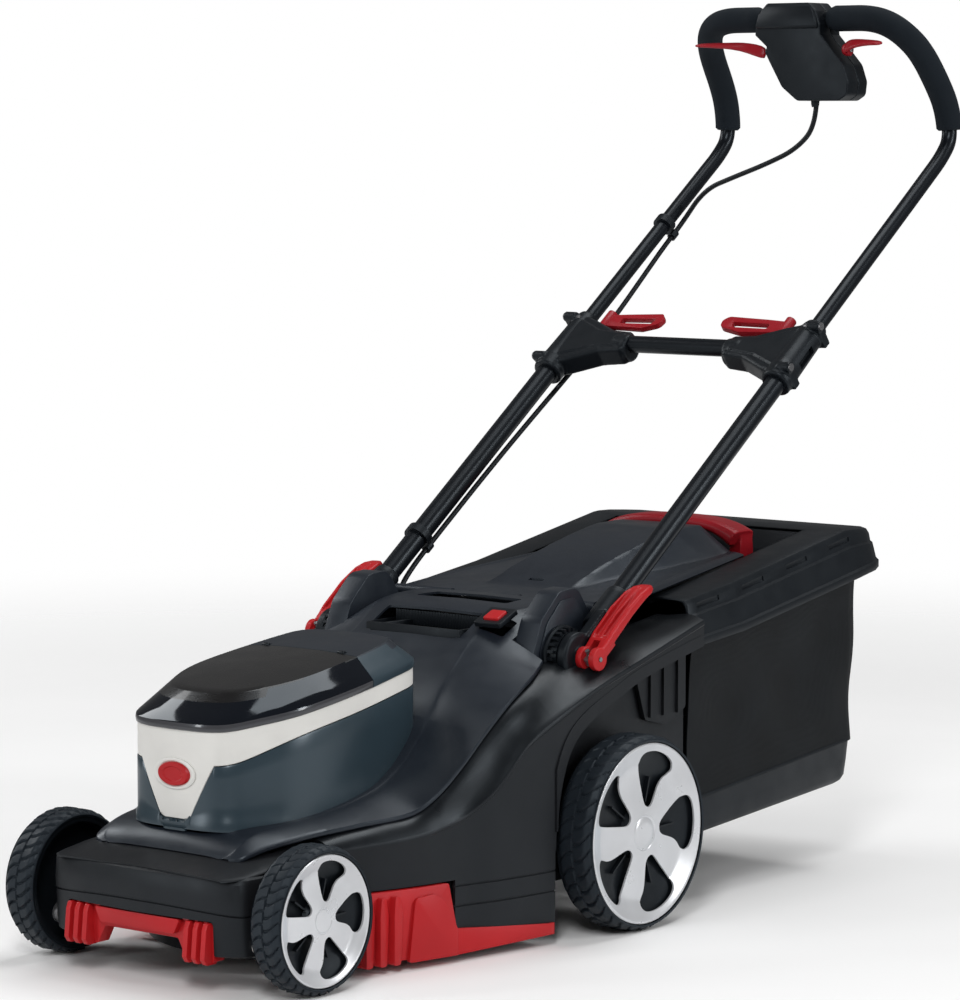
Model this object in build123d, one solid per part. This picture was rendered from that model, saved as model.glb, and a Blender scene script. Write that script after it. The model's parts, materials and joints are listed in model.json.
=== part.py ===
from build123d import *
import os
from math import cos, hypot, pi, sin, sqrt

# Cordless rotary lawn mower with a rear grass box.
# Drawn in millimetres with the front axle at y = 0, the ground at z = 0 and the mower's left at +X.
# save() then moves each piece back by ORIGIN_Y, so that the stored origin is the middle of the footprint.

# ---- driving dimensions -------------------------------------------------------------------
ORIGIN_Y = 553.05                   # half way between the bumper's front and the grips' back
SKIN = 3.5                          # wall thickness of the moulded shells
RUNNING = 0.05                      # radial clearance of a shaft in its bore

FRONT = {"y": 0.0, "r": 75.0, "rim": 67.0, "width": 39.4, "face": 188.3}
REAR = {"y": 457.2, "r": 105.0, "rim": 97.5, "width": 47.0, "face": 243.2}
AXLE_R = 6.0
CRANK_Y, CRANK_Z = 37.3, 25.0       # the wheel axis stands this far from the crank's pivot
FRONT_WALL, REAR_WALL = 133.0, 184.0  # outer faces of the deck's walls beside the cranks
CRANK_THICK = 6.0

BLADE_Y, BLADE_R, BLADE_Z = 200.0, 168.0, 38.0
CHAMBER_R, CHAMBER_ROOF = 173.0, 105.0
SKIRT_Z = 15.0

PIVOT = (425.0, 291.0)              # y, z of the handle's fold axis
TUBE_X = 163.0                      # the two handle tubes stand this far from the middle
TUBE_FOOT = (455.0, 307.6)          # y, z where a lower tube starts
TUBE_RISE = 0.7297                  # z gained per y along the tubes
LOWER_TUBE_R, UPPER_TUBE_R, TUBE_WALL = 12.0, 9.0, 1.5
CROSSBAR = (845.0, 597.0)           # y, z of the crossbar
CROSSBAR_R = 10.0
GRIP_R = 15.5
BAR_CORNER = (1082.0, 979.0)        # y, z of the handlebar's top stretch
BAR_KNEE_Y = 1188.0                 # y where the rising tube would meet the sloping grip

LID_SLOPE = 0.15                    # the cowl's rim and top rise towards the back
RIM_Z = 252.0                       # the cowl's rim at y = 0
LID_SPLIT_Y = 178.0
LID_RISE = 31.0                     # the lid's height above the rim, square to it
LID_HINGE = (181.0, RIM_Z + 0.4 + LID_SLOPE * 181.0 + LID_RISE * hypot(1.0, LID_SLOPE))

FLAP_HINGE = (500.0, 334.0)
BOX_HALF, BOX_FRONT, BOX_REAR = 200.0, 604.0, 985.0

# ---- deck and hood
BUMPER_Z = (39.0, 119.0)            # bottom and top of the front block
SKIRT_END = 338.0                   # where the side skirts stop in front of the rear wheels
CHAMBER_WALL = 4.0                  # wall and roof of the blade chamber
PART_GAP = 0.3                      # gap between mouldings that meet
MOTOR_HOLE_R = 30.0
COMB_HALF = 100.0                   # half the width of the front comb's window
SIDE_COMB_END = 205.0
BRACKET_PLATE = [(505, 262), (596, 284), (596, 214), (520, 214)]
BUSH_R = 9.0
FRONT_PIVOT = (FRONT["y"] - CRANK_Y, FRONT["r"] - CRANK_Z)
REAR_PIVOT = (REAR["y"] + CRANK_Y, REAR["r"] - CRANK_Z)
HOOD_LIP = 5.0                      # depth of the lip along the hood's lower edge
CARRY_FRONT, CARRY_BAR, CARRY_BACK = 356.0, (400.0, 436.0), 478.0
CARRY_HALF = 66.0                   # half the width of the carrying bar's opening
BUTTON_PLANE = Plane(origin=(92, 386, 330), x_dir=(1, 0, 0), z_dir=(0, -0.39, 0.92))

# ---- cowl and motor
COWL_BASE = 150.5
KNUCKLES = (44.0, 48.0, 56.0, 60.0)  # x of the lid hinge's knuckle ends
SHAFT_R = 8.0
SPOKES = 5

# ---- handle
TOWER_X = (118.5, 146.5)
TEETH_X = (146.5, 163.0)
FORK_X = (163.6, 176.0)
TEETH = 18
BOLT_R, PIN_R = 4.0, 2.5
CLAMP_X = 190.0                     # where a clamping lever turns
TUBE_TOP_Y = 826.0
BRACKET = (803.0, 886.0)            # y of a bracket's two ends along the tube
SCREW_Y = (814.0, 874.0)
LOOP_X = 128.0
GRIP_FOOT_Z = 845.0
SWITCH_HALF = 46.0                  # half the gap between the two grips
SWITCH_Y, SWITCH_SPLIT_Y = (1060.0, 1104.0), 1084.0
BAIL_AXIS, BAIL_R = (1071.0, 942.0), 3.0
BUTTON_AT, BUTTON_R = (38.0, 915.0), 9.0
CABLE_R, CABLE_X, CABLE_DROP = 3.0, -157.0, -16.5
CABLE_ROOM = 1.5                    # clearance round the cable where it enters the deck
UPPER_CLIP_Y, LOWER_CLIP_Y = 1037.0, 565.0

# ---- flap and grass box
FLAP_ROD_R = 4.0
FLAP_SLOPE = 29 / 314
BOX_TOP = [(BOX_FRONT, 337.0), (694.0, 349.0), (924.0, 390.0), (BOX_REAR, 385.0), (1008.0, 376.0)]
BOX_LIP = [(BOX_FRONT, 286.0), (694.0, 295.0), (962.0, 344.0), (1010.0, 362.0)]
RECESS_HALF = 134.0

LOW = (Align.CENTER, Align.CENTER, Align.MIN)
TUBE_LENGTH = hypot(1.0, TUBE_RISE)
TUBE_DIR = Vector(0, 1 / TUBE_LENGTH, TUBE_RISE / TUBE_LENGTH)
TUBE_UP = Vector(0, -TUBE_RISE / TUBE_LENGTH, 1 / TUBE_LENGTH)

# Cross-sections of the body from front to back. Each has y, the hood's lower edge, the hood's
# ridge, the hood's height in the middle, and the deck's shoulder, ledge and inner top.
SECTIONS = [
    (-26.0, (97.0, 134.5), (64.0, 137.0), 138.0, (121.0, 121.0), (93.0, 127.0), (85.0, 128.0)),
    (-8.0, (104.0, 140.0), (72.0, 155.0), 157.0, (133.0, 124.0), (99.0, 132.0), (92.0, 133.0)),
    (50.0, (120.0, 147.0), (96.0, 161.0), 163.0, (137.0, 128.0), (115.0, 139.0), (108.0, 140.0)),
    (85.0, (133.0, 151.0), (100.0, 165.0), 167.0, (150.0, 131.0), (128.0, 143.0), (121.0, 144.0)),
    (130.0, (150.0, 155.0), (100.0, 169.0), 171.0, (166.0, 133.0), (145.0, 147.0), (138.0, 148.0)),
    (170.0, (165.0, 162.0), (100.0, 176.0), 178.0, (176.0, 137.0), (160.0, 154.0), (153.0, 155.0)),
    (222.0, (178.0, 200.0), (102.0, 199.0), 200.0, (186.0, 151.0), (173.0, 191.0), (166.0, 193.0)),
    (257.0, (180.0, 232.0), (100.0, 230.0), 231.0, (196.0, 174.0), (175.0, 223.0), (168.0, 225.0)),
    (297.0, (180.0, 257.0), (94.0, 267.0), 269.0, (203.0, 213.0), (175.0, 248.0), (168.0, 250.0)),
    (345.0, (176.0, 280.0), (84.0, 300.0), 302.0, (210.0, 237.0), (171.0, 268.0), (160.0, 273.0)),
    (385.0, (160.0, 300.0), (96.0, 326.0), 328.0, (212.0, 250.0), (157.0, 254.0), (122.0, 304.0)),
    (404.0, (152.0, 306.0), (106.0, 334.0), 336.0, (212.0, 256.0), (156.0, 250.0), (117.0, 309.0)),
    (488.0, (148.0, 318.0), (108.0, 338.0), 340.0, (212.0, 283.0), (156.0, 268.0), (117.0, 309.0)),
    (600.0, (148.0, 326.0), (108.0, 330.0), 331.0, (212.0, 314.0), (156.0, 296.0), (117.0, 309.0)),
]


# ---- helpers -----------------------------------------------------------------------------
def save(node, *pieces):
    """Write one node, moved to the stored origin."""
    solids = [solid for piece in pieces for solid in piece.solids()]
    os.makedirs("parts", exist_ok=True)
    export_step(Pos(0, -ORIGIN_Y, 0) * Compound(children=solids), f"parts/{node}.step")


def block(x, y, z):
    """A box from its three ranges."""
    size = [high - low for low, high in (x, y, z)]
    middle = [(high + low) / 2 for low, high in (x, y, z)]
    return Pos(*middle) * Box(*size)


def rod(radius, start, end):
    """A solid cylinder between two points."""
    start, end = Vector(*start), Vector(*end)
    return Plane(origin=start, z_dir=end - start) * extrude(Circle(radius), (end - start).length)


def cross_rod(radius, x, y, z):
    """A solid cylinder along X, from its range of x and its centre."""
    return rod(radius, (x[0], y, z), (x[1], y, z))


def side_plate(points, x):
    """A plate with an outline of (y, z) points, from its range of x."""
    face = make_face(Polyline([Vector(x[0], *point) for point in points], close=True))
    return extrude(face, x[1] - x[0], dir=(1, 0, 0))


def flat_plate(points, z):
    """A plate with an outline of (x, y) points, from its range of z."""
    face = make_face(Polyline([Vector(*point, z[0]) for point in points], close=True))
    return extrude(face, z[1] - z[0], dir=(0, 0, 1))


def front_plate(points, y):
    """A plate with an outline of (x, z) points, from its range of y."""
    face = make_face(Polyline([Vector(px, y[0], pz) for px, pz in points], close=True))
    return extrude(face, y[1] - y[0], dir=(0, 1, 0))


def mirrored(points):
    """Right-hand points followed by their mirror images, as a closed outline."""
    return points + [(-x, z) for x, z in reversed(points)]


def ruled(sections):
    """A solid through closed outlines of (x, z) points, each given with its y."""
    faces = [
        make_face(Polyline([Vector(x, y, z) for x, z in outline], close=True)) for y, outline in sections
    ]
    return loft(faces, ruled=True)


def other_side(shape):
    """The mirror image of a piece, for the mower's other side."""
    return mirror(shape, about=Plane.YZ)


def tube_point(y, x=TUBE_X, up=0.0):
    """A point at this y on a handle tube's axis, or off it by up."""
    base = Vector(x, y, TUBE_FOOT[1] + TUBE_RISE * (y - TUBE_FOOT[0]))
    return base + TUBE_UP * up


def along_tube(y, x=TUBE_X):
    """A plane with its Z along the tube, its X across to the left and its origin on the axis."""
    return Plane(origin=tube_point(y, x), x_dir=(1, 0, 0), z_dir=TUBE_DIR)


# ---- deck ----------------------------------------------------------------------------------
def bumper_outline(inset):
    """The front block in plan: a crowned front and straight sides."""
    front, side, back = -66.0 + inset, FRONT_WALL - inset, 84.0
    crown = front - 11.0
    edges = [
        Polyline((side, back), (side, front + 12), (side - 12, front)),
        ThreePointArc((side - 12, front), (0, crown), (12 - side, front)),
        Polyline((12 - side, front), (-side, front + 12), (-side, back), (side, back)),
    ]
    return make_face(edges)


def front_block(inset, z):
    return extrude(Pos(0, 0, z[0]) * bumper_outline(inset), z[1] - z[0])


def body_outline(section, inset, floor):
    """The deck's closed outline at one section: side walls, shoulders and flat top."""
    (wall_x, wall_z), (ledge_x, ledge_z), (top_x, top_z) = section[4:]
    return mirrored([
        (wall_x - inset, floor),
        (wall_x - inset, wall_z - inset),
        (ledge_x - inset, ledge_z - inset),
        (top_x - inset, top_z - inset),
    ])


def deck_skin(inset, floor, first, last):
    return ruled([(section[0], body_outline(section, inset, floor)) for section in SECTIONS[first:last]])


def wheel_arch(x):
    """The space that a rear wheel needs, seen from the side."""
    points = [
        (338, -5), (338, 138), (349, 181), (356, 196), (393, 227),
        (449, 249), (497, 267), (601, 289), (601, -5),
    ]
    return side_plate(points, x)


def tunnel(inset):
    """The discharge tunnel's outer form, or its clear space with an inset."""
    half = 113.0 - inset
    points = [
        (368 + inset, 88 + inset), (601, 98 + inset), (601, 296 - inset),
        (430, 240 - inset), (322 + inset, 109 - inset),
    ]
    return side_plate(points, (-half, half))


def skin_between(y, x=(0.0, 260.0)):
    """The body's moulded skin within a range of y, and of distance from the middle."""
    skin = deck_skin(0, SKIRT_Z, 3, 14) - deck_skin(SKIN, SKIRT_Z - 5, 3, 14)
    skin -= wheel_arch((REAR_WALL, 260)) + wheel_arch((-260, -REAR_WALL))
    skin -= block((-105, 105), (44, 488), (CHAMBER_ROOF + CHAMBER_WALL, 400))
    right = block((-x[1], -x[0]), y, (0, 400))
    return skin & (block(x, y, (0, 400)) + right)


def without_fittings(shape):
    """Clears the towers, the combs, the axles' bushes and the cable out of a body moulding."""
    for side in (-1, 1):
        shape -= block(sorted((side * (TOWER_X[0] - 0.5), side * 150)), (348, 484), (244, 400))
        shape -= block(sorted((side * 138, side * 200)), (70, SIDE_COMB_END), (-5, 86))
        shape -= cross_rod(BUSH_R, sorted((side * 100, side * 145)), *FRONT_PIVOT)
        shape -= cross_rod(BUSH_R, sorted((side * 150, side * 200)), *REAR_PIVOT)
    return shape - cable(CABLE_LOWER, CABLE_R + CABLE_ROOM)


def chamber_form():
    """The space that the blade chamber takes, with a little room round it."""
    room = CHAMBER_WALL + PART_GAP
    return Pos(0, BLADE_Y, 0) * Cylinder(CHAMBER_R + room, CHAMBER_ROOF + room, align=LOW)


def deck_shell():
    """The cutting deck: blade chamber, discharge tunnel, inner walls and the top behind the hood."""
    centre = Pos(0, BLADE_Y, 0)
    ring_height = CHAMBER_ROOF + CHAMBER_WALL - SKIRT_Z
    ring = centre * Pos(0, 0, SKIRT_Z) * extrude(Circle(CHAMBER_R + CHAMBER_WALL), ring_height)
    form = deck_skin(SKIN, SKIRT_Z, 3, 14) + front_block(SKIN, BUMPER_Z)
    roof = block((-180, 180), (-20, SKIRT_END), (CHAMBER_ROOF, CHAMBER_ROOF + CHAMBER_WALL)) & form
    deck = ring + roof - centre * extrude(Circle(CHAMBER_R), CHAMBER_ROOF)
    deck += tunnel(0)
    deck += front_plate([(-182, 92), (182, 92), (182, 300), (-182, 300)], (596, 600))
    wall = [(345, 60), (600, 60), (600, 300), (470, 280), (345, 236)]
    wall = side_plate(wall, (REAR_WALL - 4, REAR_WALL))
    deck += wall + other_side(wall)
    deck += skin_between((SKIRT_END + PART_GAP, 600), (0, REAR_WALL))
    deck -= tunnel(SKIN)
    deck -= centre * Pos(0, 0, CHAMBER_ROOF - 10) * extrude(Circle(MOTOR_HOLE_R), 30)
    return without_fittings(deck).solids().sort_by(SortBy.VOLUME)[-1]


def side_skirts():
    """The outer side walls between the front and rear wheels, each with a flange at its back."""
    flange = front_plate([(180, 15), (207, 15), (207, 236), (180, 236)], (SKIRT_END - SKIN, SKIRT_END))
    walls = skin_between((85, SKIRT_END)) + flange + other_side(flange)
    skirts = without_fittings(walls) - chamber_form()
    return skirts.solids().sort_by(SortBy.VOLUME)[-2:]


def side_fenders():
    """The arches over the rear wheels, each with a bracket plate below its rear end."""
    fenders = skin_between((SKIRT_END + PART_GAP, 600), (REAR_WALL + PART_GAP, 260))
    plate = side_plate(BRACKET_PLATE, (REAR_WALL + PART_GAP, REAR_WALL + 6))
    return (fenders + plate + other_side(plate)).solids().sort_by(SortBy.VOLUME)[-2:]


def front_bumper():
    """The front moulding between the front wheels, with a window for the comb."""
    skin = ruled([(s[0], body_outline(s, 0, 110)) for s in SECTIONS[0:4]])
    skin -= ruled([(s[0], body_outline(s, SKIN, 100)) for s in SECTIONS[0:4]])
    shelf = front_plate([(-118, 115), (118, 115), (92, 131), (-92, 131)], (-66, -26))
    nose = front_block(0, BUMPER_Z) - front_block(SKIN, (BUMPER_Z[0] - 5, BUMPER_Z[1] - SKIN))
    nose += shelf + skin
    nose -= block((-60, 60), (-18, 60), (BUMPER_Z[1] - 6, 200))
    nose -= block((-105, 105), (44, 100), (CHAMBER_ROOF + CHAMBER_WALL, 400))
    nose -= block((-COMB_HALF, COMB_HALF), (-90, -50), (BUMPER_Z[0] - 5, 74))
    nose -= block((-200, 200), (85 - PART_GAP, 200), (0, 400)) + chamber_form()
    return without_fittings(nose).solids().sort_by(SortBy.VOLUME)[-1]


def front_comb():
    """The red grass comb across the front: a stepped plate with three ribs at each end."""
    edge = COMB_HALF - 0.5
    comb = front_plate([
        (-edge, 33), (-60, 33), (-50, 52), (50, 52), (60, 33), (edge, 33), (edge, 73), (-edge, 73),
    ], (-66, -50.5))
    comb += front_plate([(-52, 58), (52, 58), (58, 73), (-58, 73)], (-74, -66))
    for side in (-1, 1):
        for rib in range(3):
            comb += block(
                sorted((side * (66 + 12 * rib), side * (72 + 12 * rib))), (-78, -60), (30, 73)
            )
    return comb


def side_comb():
    """The red comb behind the left front wheel: ribs, a sloped panel and a strip along the skirt."""
    plan = [(142, 87), (158, 87), (163, 110), (176, 150), (184, 204), (172, 204), (142, 140)]
    panel = side_plate([(87, 12), (150, 12), (202, 8), (204, 38), (193, 84), (87, 84)], (130, 200))
    comb = panel & flat_plate(plan, (0, 100))
    for rib in range(3):
        y, x = 88 + 16 * rib, 158 + 3 * rib
        comb += side_plate([(y, 8.5), (y + 9, 8.5), (y + 12, 70), (y + 4, 82)], (x - 12, x + 8))
    comb += side_plate([(138, 8.5), (202, 8.5), (202, 34), (176, 76), (152, 76)], (165, 186)) & flat_plate(
        [(165, 138), (176, 138), (187, 204), (165, 204)], (0, 100))
    strip = flat_plate([(178, 200), (186, 200), (211, 326), (203, 326)], (6.5, SKIRT_Z - 0.5))
    return comb + strip - chamber_form()


# ---- hood ----------------------------------------------------------------------------------
def hood_section(section):
    """The hood's skin at one section, with the short lip along its lower edge."""
    _, (edge_x, edge_z), (ridge_x, ridge_z), crown = section[:4]
    outer = [(edge_x, edge_z), (ridge_x, ridge_z), (0, crown), (-ridge_x, ridge_z), (-edge_x, edge_z)]
    lip = [(-edge_x, edge_z - HOOD_LIP), (2.0 - edge_x, edge_z - HOOD_LIP)]
    inner = [(x * (1 - 2.0 / edge_x), z - SKIN) for x, z in reversed(outer)]
    return outer + lip + inner + [(edge_x - 2.0, edge_z - HOOD_LIP), (edge_x, edge_z - HOOD_LIP)]


def hood():
    skin = ruled([(s[0], hood_section(s)) for s in SECTIONS[0:13]])
    skin -= Pos(0, 0, 100) * extrude(cowl_outline(0.0), 250)
    well = block((-CARRY_HALF, CARRY_HALF), (CARRY_FRONT, CARRY_BACK), (255, 380))
    bar = block((-CARRY_HALF - 4, CARRY_HALF + 4), CARRY_BAR, (250, 380))
    skin -= well - bar
    skin -= BUTTON_PLANE * extrude(Rectangle(28, 26), 30, both=True)
    for side in (-1, 1):
        skin -= block(sorted((side * (TOWER_X[0] - 0.5), side * 190)), (347, 520), (244, 400))
    return skin


def carry_well():
    """The dark pocket under the carrying bar, open at the top on both sides of the bar."""
    def inside(gap, z):
        half = CARRY_HALF - gap
        return block((-half, half), (CARRY_FRONT + gap, CARRY_BACK - gap), z)

    pocket = inside(0.5, (268, 305)) - inside(3, (271, 330))
    bar_half = CARRY_HALF - 1
    underside = side_plate([(402, 318), (434, 324), (430, 329), (406, 326)], (-bar_half, bar_half))
    ribs = [block((x - 1.2, x + 1.2), (403, 410), (312, 320)) for x in range(-56, 57, 8)]
    posts = [
        block(sorted((side * (bar_half - 3), side * bar_half)), (403, 433), (304, 321)) for side in (-1, 1)
    ]
    return (pocket + underside + ribs + posts) - block((-200, 200), (440, 500), (300, 400))


def button_bezel():
    frame = BUTTON_PLANE * (extrude(Rectangle(27.4, 25.4), 2) + extrude(Rectangle(27.4, 25.4), -14))
    return frame - BUTTON_PLANE * extrude(Rectangle(21.4, 19.4), 30, both=True)


def height_button():
    cap = BUTTON_PLANE * extrude(Rectangle(20.4, 18.4), 4.5)
    stem = BUTTON_PLANE * extrude(Rectangle(20.4, 18.4), -10)
    return cap + stem


# ---- battery and motor cowl ------------------------------------------------------------------
def rounded_outline(front, front_half, middle, middle_half, back, back_half, bulge):
    """A closed outline in plan of four arcs, symmetrical about the middle."""
    start, turn = (front_half, front + bulge / 2), (back_half, back - bulge)
    edges = [
        ThreePointArc((-start[0], start[1]), (0, front), start),
        ThreePointArc(start, (middle_half, middle), turn),
        ThreePointArc(turn, (0, back), (-turn[0], turn[1])),
        ThreePointArc((-turn[0], turn[1]), (-middle_half, middle), (-start[0], start[1])),
    ]
    return make_face(edges)


def cowl_outline(inset):
    return rounded_outline(-16 + inset, 64 - inset, 105, 97 - inset, 266 - inset, 88 - inset, 14)


def slope_block(z_front, slope, height):
    """A large block above a plane that rises towards the back from z_front at y = 0."""
    low, high = -80, 400
    points = [
        (low, z_front + slope * low), (high, z_front + slope * high),
        (high, z_front + slope * high + height), (low, z_front + slope * low + height),
    ]
    return side_plate(points, (-150, 150))


def band_floor():
    """The space above the lower edge of the light band, with the V at the front."""
    points = [(-80, 205), (0, 219), (66, 241), (247, 271), (400, 296), (400, 600), (-80, 600)]
    notch = front_plate([(-66, 228), (-15, 158), (15, 158), (66, 228)], (-40, 0))
    return side_plate(points, (-150, 150)) + notch


def cowl_wall(z):
    return Pos(0, 0, z[0]) * (
        extrude(cowl_outline(0), z[1] - z[0]) - extrude(cowl_outline(SKIN), z[1] - z[0])
    )


def motor_cowl():
    return (cowl_wall((COWL_BASE, 330)) - band_floor()).solids().sort_by(SortBy.VOLUME)[-1]


def cowl_band():
    wall = cowl_wall((COWL_BASE, 330)) & band_floor()
    return (wall - slope_block(RIM_Z, LID_SLOPE, 300)).solids().sort_by(SortBy.VOLUME)[-1]


def lid_form(inset):
    """The closed top of the cowl: a slanted cap between the rim and the smaller flat top."""
    tilt = Plane(origin=(0, 0, RIM_Z + 0.4), x_dir=(1, 0, 0), z_dir=(0, -LID_SLOPE, 1))
    stretch = sqrt(1 + LID_SLOPE**2)
    rim = rounded_outline(
        (-14 + inset) * stretch, 66 - inset, 105, 98 - inset, (266 - inset) * stretch, 88 - inset, 14
    )
    top = rounded_outline(20 + inset, 42 - inset, 105, 80 - inset, 252 - inset, 64 - inset, 14)
    return loft([tilt * rim, tilt * (Pos(0, 0, LID_RISE - inset) * top)], ruled=True)


def lid_skin():
    return lid_form(0) - lid_form(SKIN)


def lid_barrels(x, radius):
    y, z = LID_HINGE
    barrel = cross_rod(radius, x, y, z)
    return barrel + other_side(barrel)


def battery_lid():
    space = lid_barrels((KNUCKLES[0] - 0.4, KNUCKLES[3] + 0.4), 4.6)
    knuckle = (KNUCKLES[1] + 0.4, KNUCKLES[2] - 0.4)
    lid = lid_skin() & block((-150, 150), (-60, LID_SPLIT_Y - 0.5), (200, 400))
    lid -= space
    ears = block(knuckle, (170, LID_HINGE[0]), (LID_HINGE[1] - 4, LID_HINGE[1]))
    lid += ears + other_side(ears) + lid_barrels(knuckle, 4.0)
    return lid + lid_barrels((KNUCKLES[0], KNUCKLES[3]), 2.0)


def cowl_rear_cap():
    cap = lid_skin() & block((-150, 150), (LID_SPLIT_Y + 0.5, 300), (200, 400))
    cap -= lid_barrels((KNUCKLES[1], KNUCKLES[2]), 6.5)
    cap += lid_barrels((KNUCKLES[0], KNUCKLES[1]), 4.0) + lid_barrels((KNUCKLES[2], KNUCKLES[3]), 4.0)
    return cap - lid_barrels((KNUCKLES[0] - 1, KNUCKLES[3] + 1), 2.0 + RUNNING)


def battery_bay():
    outer = block((-58, 58), (22, 142), (152, 246))
    return outer - block((-55, 55), (25, 139), (155, 250))


def battery_pack():
    """The pack stands in its bay, with a carrying loop on top."""
    pack = block((-50, 50), (30, 134), (155, 238))
    loop = block((-34, 34), (60, 80), (238, 256)) - block((-26, 26), (50, 90), (238, 250))
    return fillet(pack.edges().filter_by(Axis.Z), 8) + loop


def circuit_board():
    board = block((-45, 45), (158, 246), (180, 182))
    posts = [Pos(x, y, 166) * Cylinder(4, 14, align=LOW) for x in (-38, 38) for y in (172, 228)]
    chips = [block((x, x + 14), (y, y + 20), (182, 190)) for x in (-30, 10) for y in (180, 210)]
    return board + posts + chips


# ---- motor and blade -----------------------------------------------------------------------
def turned(profile):
    """A round solid about the blade's axis, from (radius, z) points."""
    face = make_face(Polyline([Vector(r, 0, z) for r, z in profile], close=True))
    return Pos(0, BLADE_Y, 0) * revolve(face, Axis.Z)


def motor_housing():
    can = turned([(SHAFT_R + RUNNING, 109), (56, 109), (56, 158), (48, 166), (SHAFT_R + RUNNING, 166)])
    return can - turned([(0, 114), (50, 114), (50, 156), (44, 161), (0, 161)])


def motor_shaft():
    """The shaft with its rotor, which turns inside the housing."""
    return turned([
        (0, 52), (SHAFT_R, 52), (SHAFT_R, 118), (44, 118), (44, 152), (SHAFT_R, 152),
        (SHAFT_R, 164), (0, 164),
    ])


def cooling_fan():
    disc = turned([(SHAFT_R, 70), (62, 78), (62, 81), (SHAFT_R, 84)])
    vane = block((16, 60), (BLADE_Y - 1.2, BLADE_Y + 1.2), (78, 96))
    middle = Pos(0, BLADE_Y, 0)
    vanes = [middle * Rot(0, 0, turn) * middle.inverse() * vane for turn in range(0, 360, 45)]
    return disc + vanes


def blade():
    """A flat bar with a lifting wing behind each cutting end, and the carrier that drives it."""
    centre = Pos(0, BLADE_Y, 0)
    bar = block((-BLADE_R, BLADE_R), (BLADE_Y - 25, BLADE_Y + 25), (BLADE_Z, BLADE_Z + 3.5))
    bar &= centre * Cylinder(BLADE_R, 100, align=LOW)
    corner = [(BLADE_R + 1, BLADE_Y - 26), (BLADE_R + 1, BLADE_Y - 8), (BLADE_R - 70, BLADE_Y - 26)]
    tip = flat_plate(corner, (0, 60))
    wing = side_plate([
        (BLADE_Y + 14, BLADE_Z + 1), (BLADE_Y + 25, BLADE_Z + 1), (BLADE_Y + 34, BLADE_Z + 20),
        (BLADE_Y + 31, BLADE_Z + 21),
    ], (BLADE_R - 62, BLADE_R - 10))
    half_turn = centre * Rot(0, 0, 180) * centre.inverse()
    plate = bar - tip - half_turn * tip + wing + half_turn * wing
    carrier = turned([(0, BLADE_Z + 3.5), (24, BLADE_Z + 3.5), (24, 52), (0, 52)])
    return plate + carrier - centre * extrude(Circle(5.0), 60)


def blade_bolt():
    head = Pos(0, BLADE_Y, BLADE_Z - 10) * extrude(RegularPolygon(9.5, 6), 7)
    washer = Pos(0, BLADE_Y, BLADE_Z - 3) * extrude(Circle(17), 3)
    thread = Pos(0, BLADE_Y, BLADE_Z - 3) * extrude(Circle(5.0), 55 - BLADE_Z)
    return head + washer + thread


# ---- wheels and axles -----------------------------------------------------------------------
def wheel_turned(wheel, profile):
    """A round solid about a left wheel's axle, from (x, radius) points."""
    face = make_face(Polyline([Vector(x, 0, r) for x, r in profile], close=True))
    return Pos(0, wheel["y"], wheel["r"]) * revolve(face, Axis.X)


def tyre(wheel):
    inner, outer = wheel["face"] - wheel["width"], wheel["face"]
    full, rim = wheel["r"], wheel["rim"]
    return wheel_turned(wheel, [
        (inner, rim), (inner, full - 5), (inner + 5, full - 1), (inner + 9, full),
        (outer - 9, full), (outer - 5, full - 1), (outer, full - 5), (outer, rim),
    ])


def wheel_core(wheel):
    """The dark moulded wheel: hub, web and the rim that carries the tyre."""
    inner, outer, rim = wheel["face"] - wheel["width"], wheel["face"], wheel["rim"]
    web = outer - 17.0
    bore = AXLE_R + RUNNING
    return wheel_turned(wheel, [
        (inner + 2, bore), (outer - 9, bore), (outer - 9, 17), (web, 17), (web, rim - 5),
        (outer - 7.5, rim - 5), (outer - 7.5, rim), (inner + 2, rim), (inner + 2, rim - 5),
        (web - 4, rim - 5), (web - 4, 17), (inner + 2, 17),
    ])


def wheel_trim(wheel):
    """The silver cover: a dished disc with five openings between its spokes."""
    outer, rim = wheel["face"], wheel["rim"]
    dish = wheel_turned(wheel, [
        (outer - 5.5, 0), (outer - 8.5, 0), (outer - 8.5, 18), (outer - 10, rim * 0.55),
        (outer - 6, rim - 0.1), (outer - 3, rim - 0.1), (outer - 3, rim - 5), (outer - 7, rim * 0.55),
        (outer - 5.5, 18),
    ])
    near, far, narrow, wide = rim * 0.32, rim * 0.84, rim * 0.09, rim * 0.27
    opening = make_face(Polyline(
        (narrow, near), (wide, far * 0.93), (wide * 0.6, far), (-wide * 0.7, far * 0.98),
        (-wide, far * 0.8), (-narrow, near), close=True,
    ))
    opening = fillet(opening.vertices(), rim * 0.05)
    middle = Plane(origin=(outer - 25, wheel["y"], wheel["r"]), x_dir=(0, 1, 0), z_dir=(1, 0, 0))
    for spoke in range(SPOKES):
        dish -= middle * extrude(Rot(0, 0, 360 / SPOKES * spoke) * opening, 40)
    return dish


def crank_axle(wheel, pivot, wall):
    """One bent axle: the rod in the deck, a crank at each end and a stub through each wheel."""
    arm_x = (wall + 3.2, wall + 3.2 + CRANK_THICK)
    y, z = wheel["y"], wheel["r"]
    axle = cross_rod(AXLE_R, (-arm_x[0], arm_x[0]), *pivot)
    along = Vector(0, y - pivot[0], z - pivot[1])
    plane = Plane(origin=(arm_x[0], *pivot), x_dir=along, z_dir=(1, 0, 0))
    arm = plane * extrude(Pos(along.length / 2, 0) * SlotCenterToCenter(along.length, 22), CRANK_THICK)
    stub = cross_rod(AXLE_R, (arm_x[1], wheel["face"] - 9.5), y, z)
    return axle + arm + other_side(arm) + stub + other_side(stub)


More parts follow.
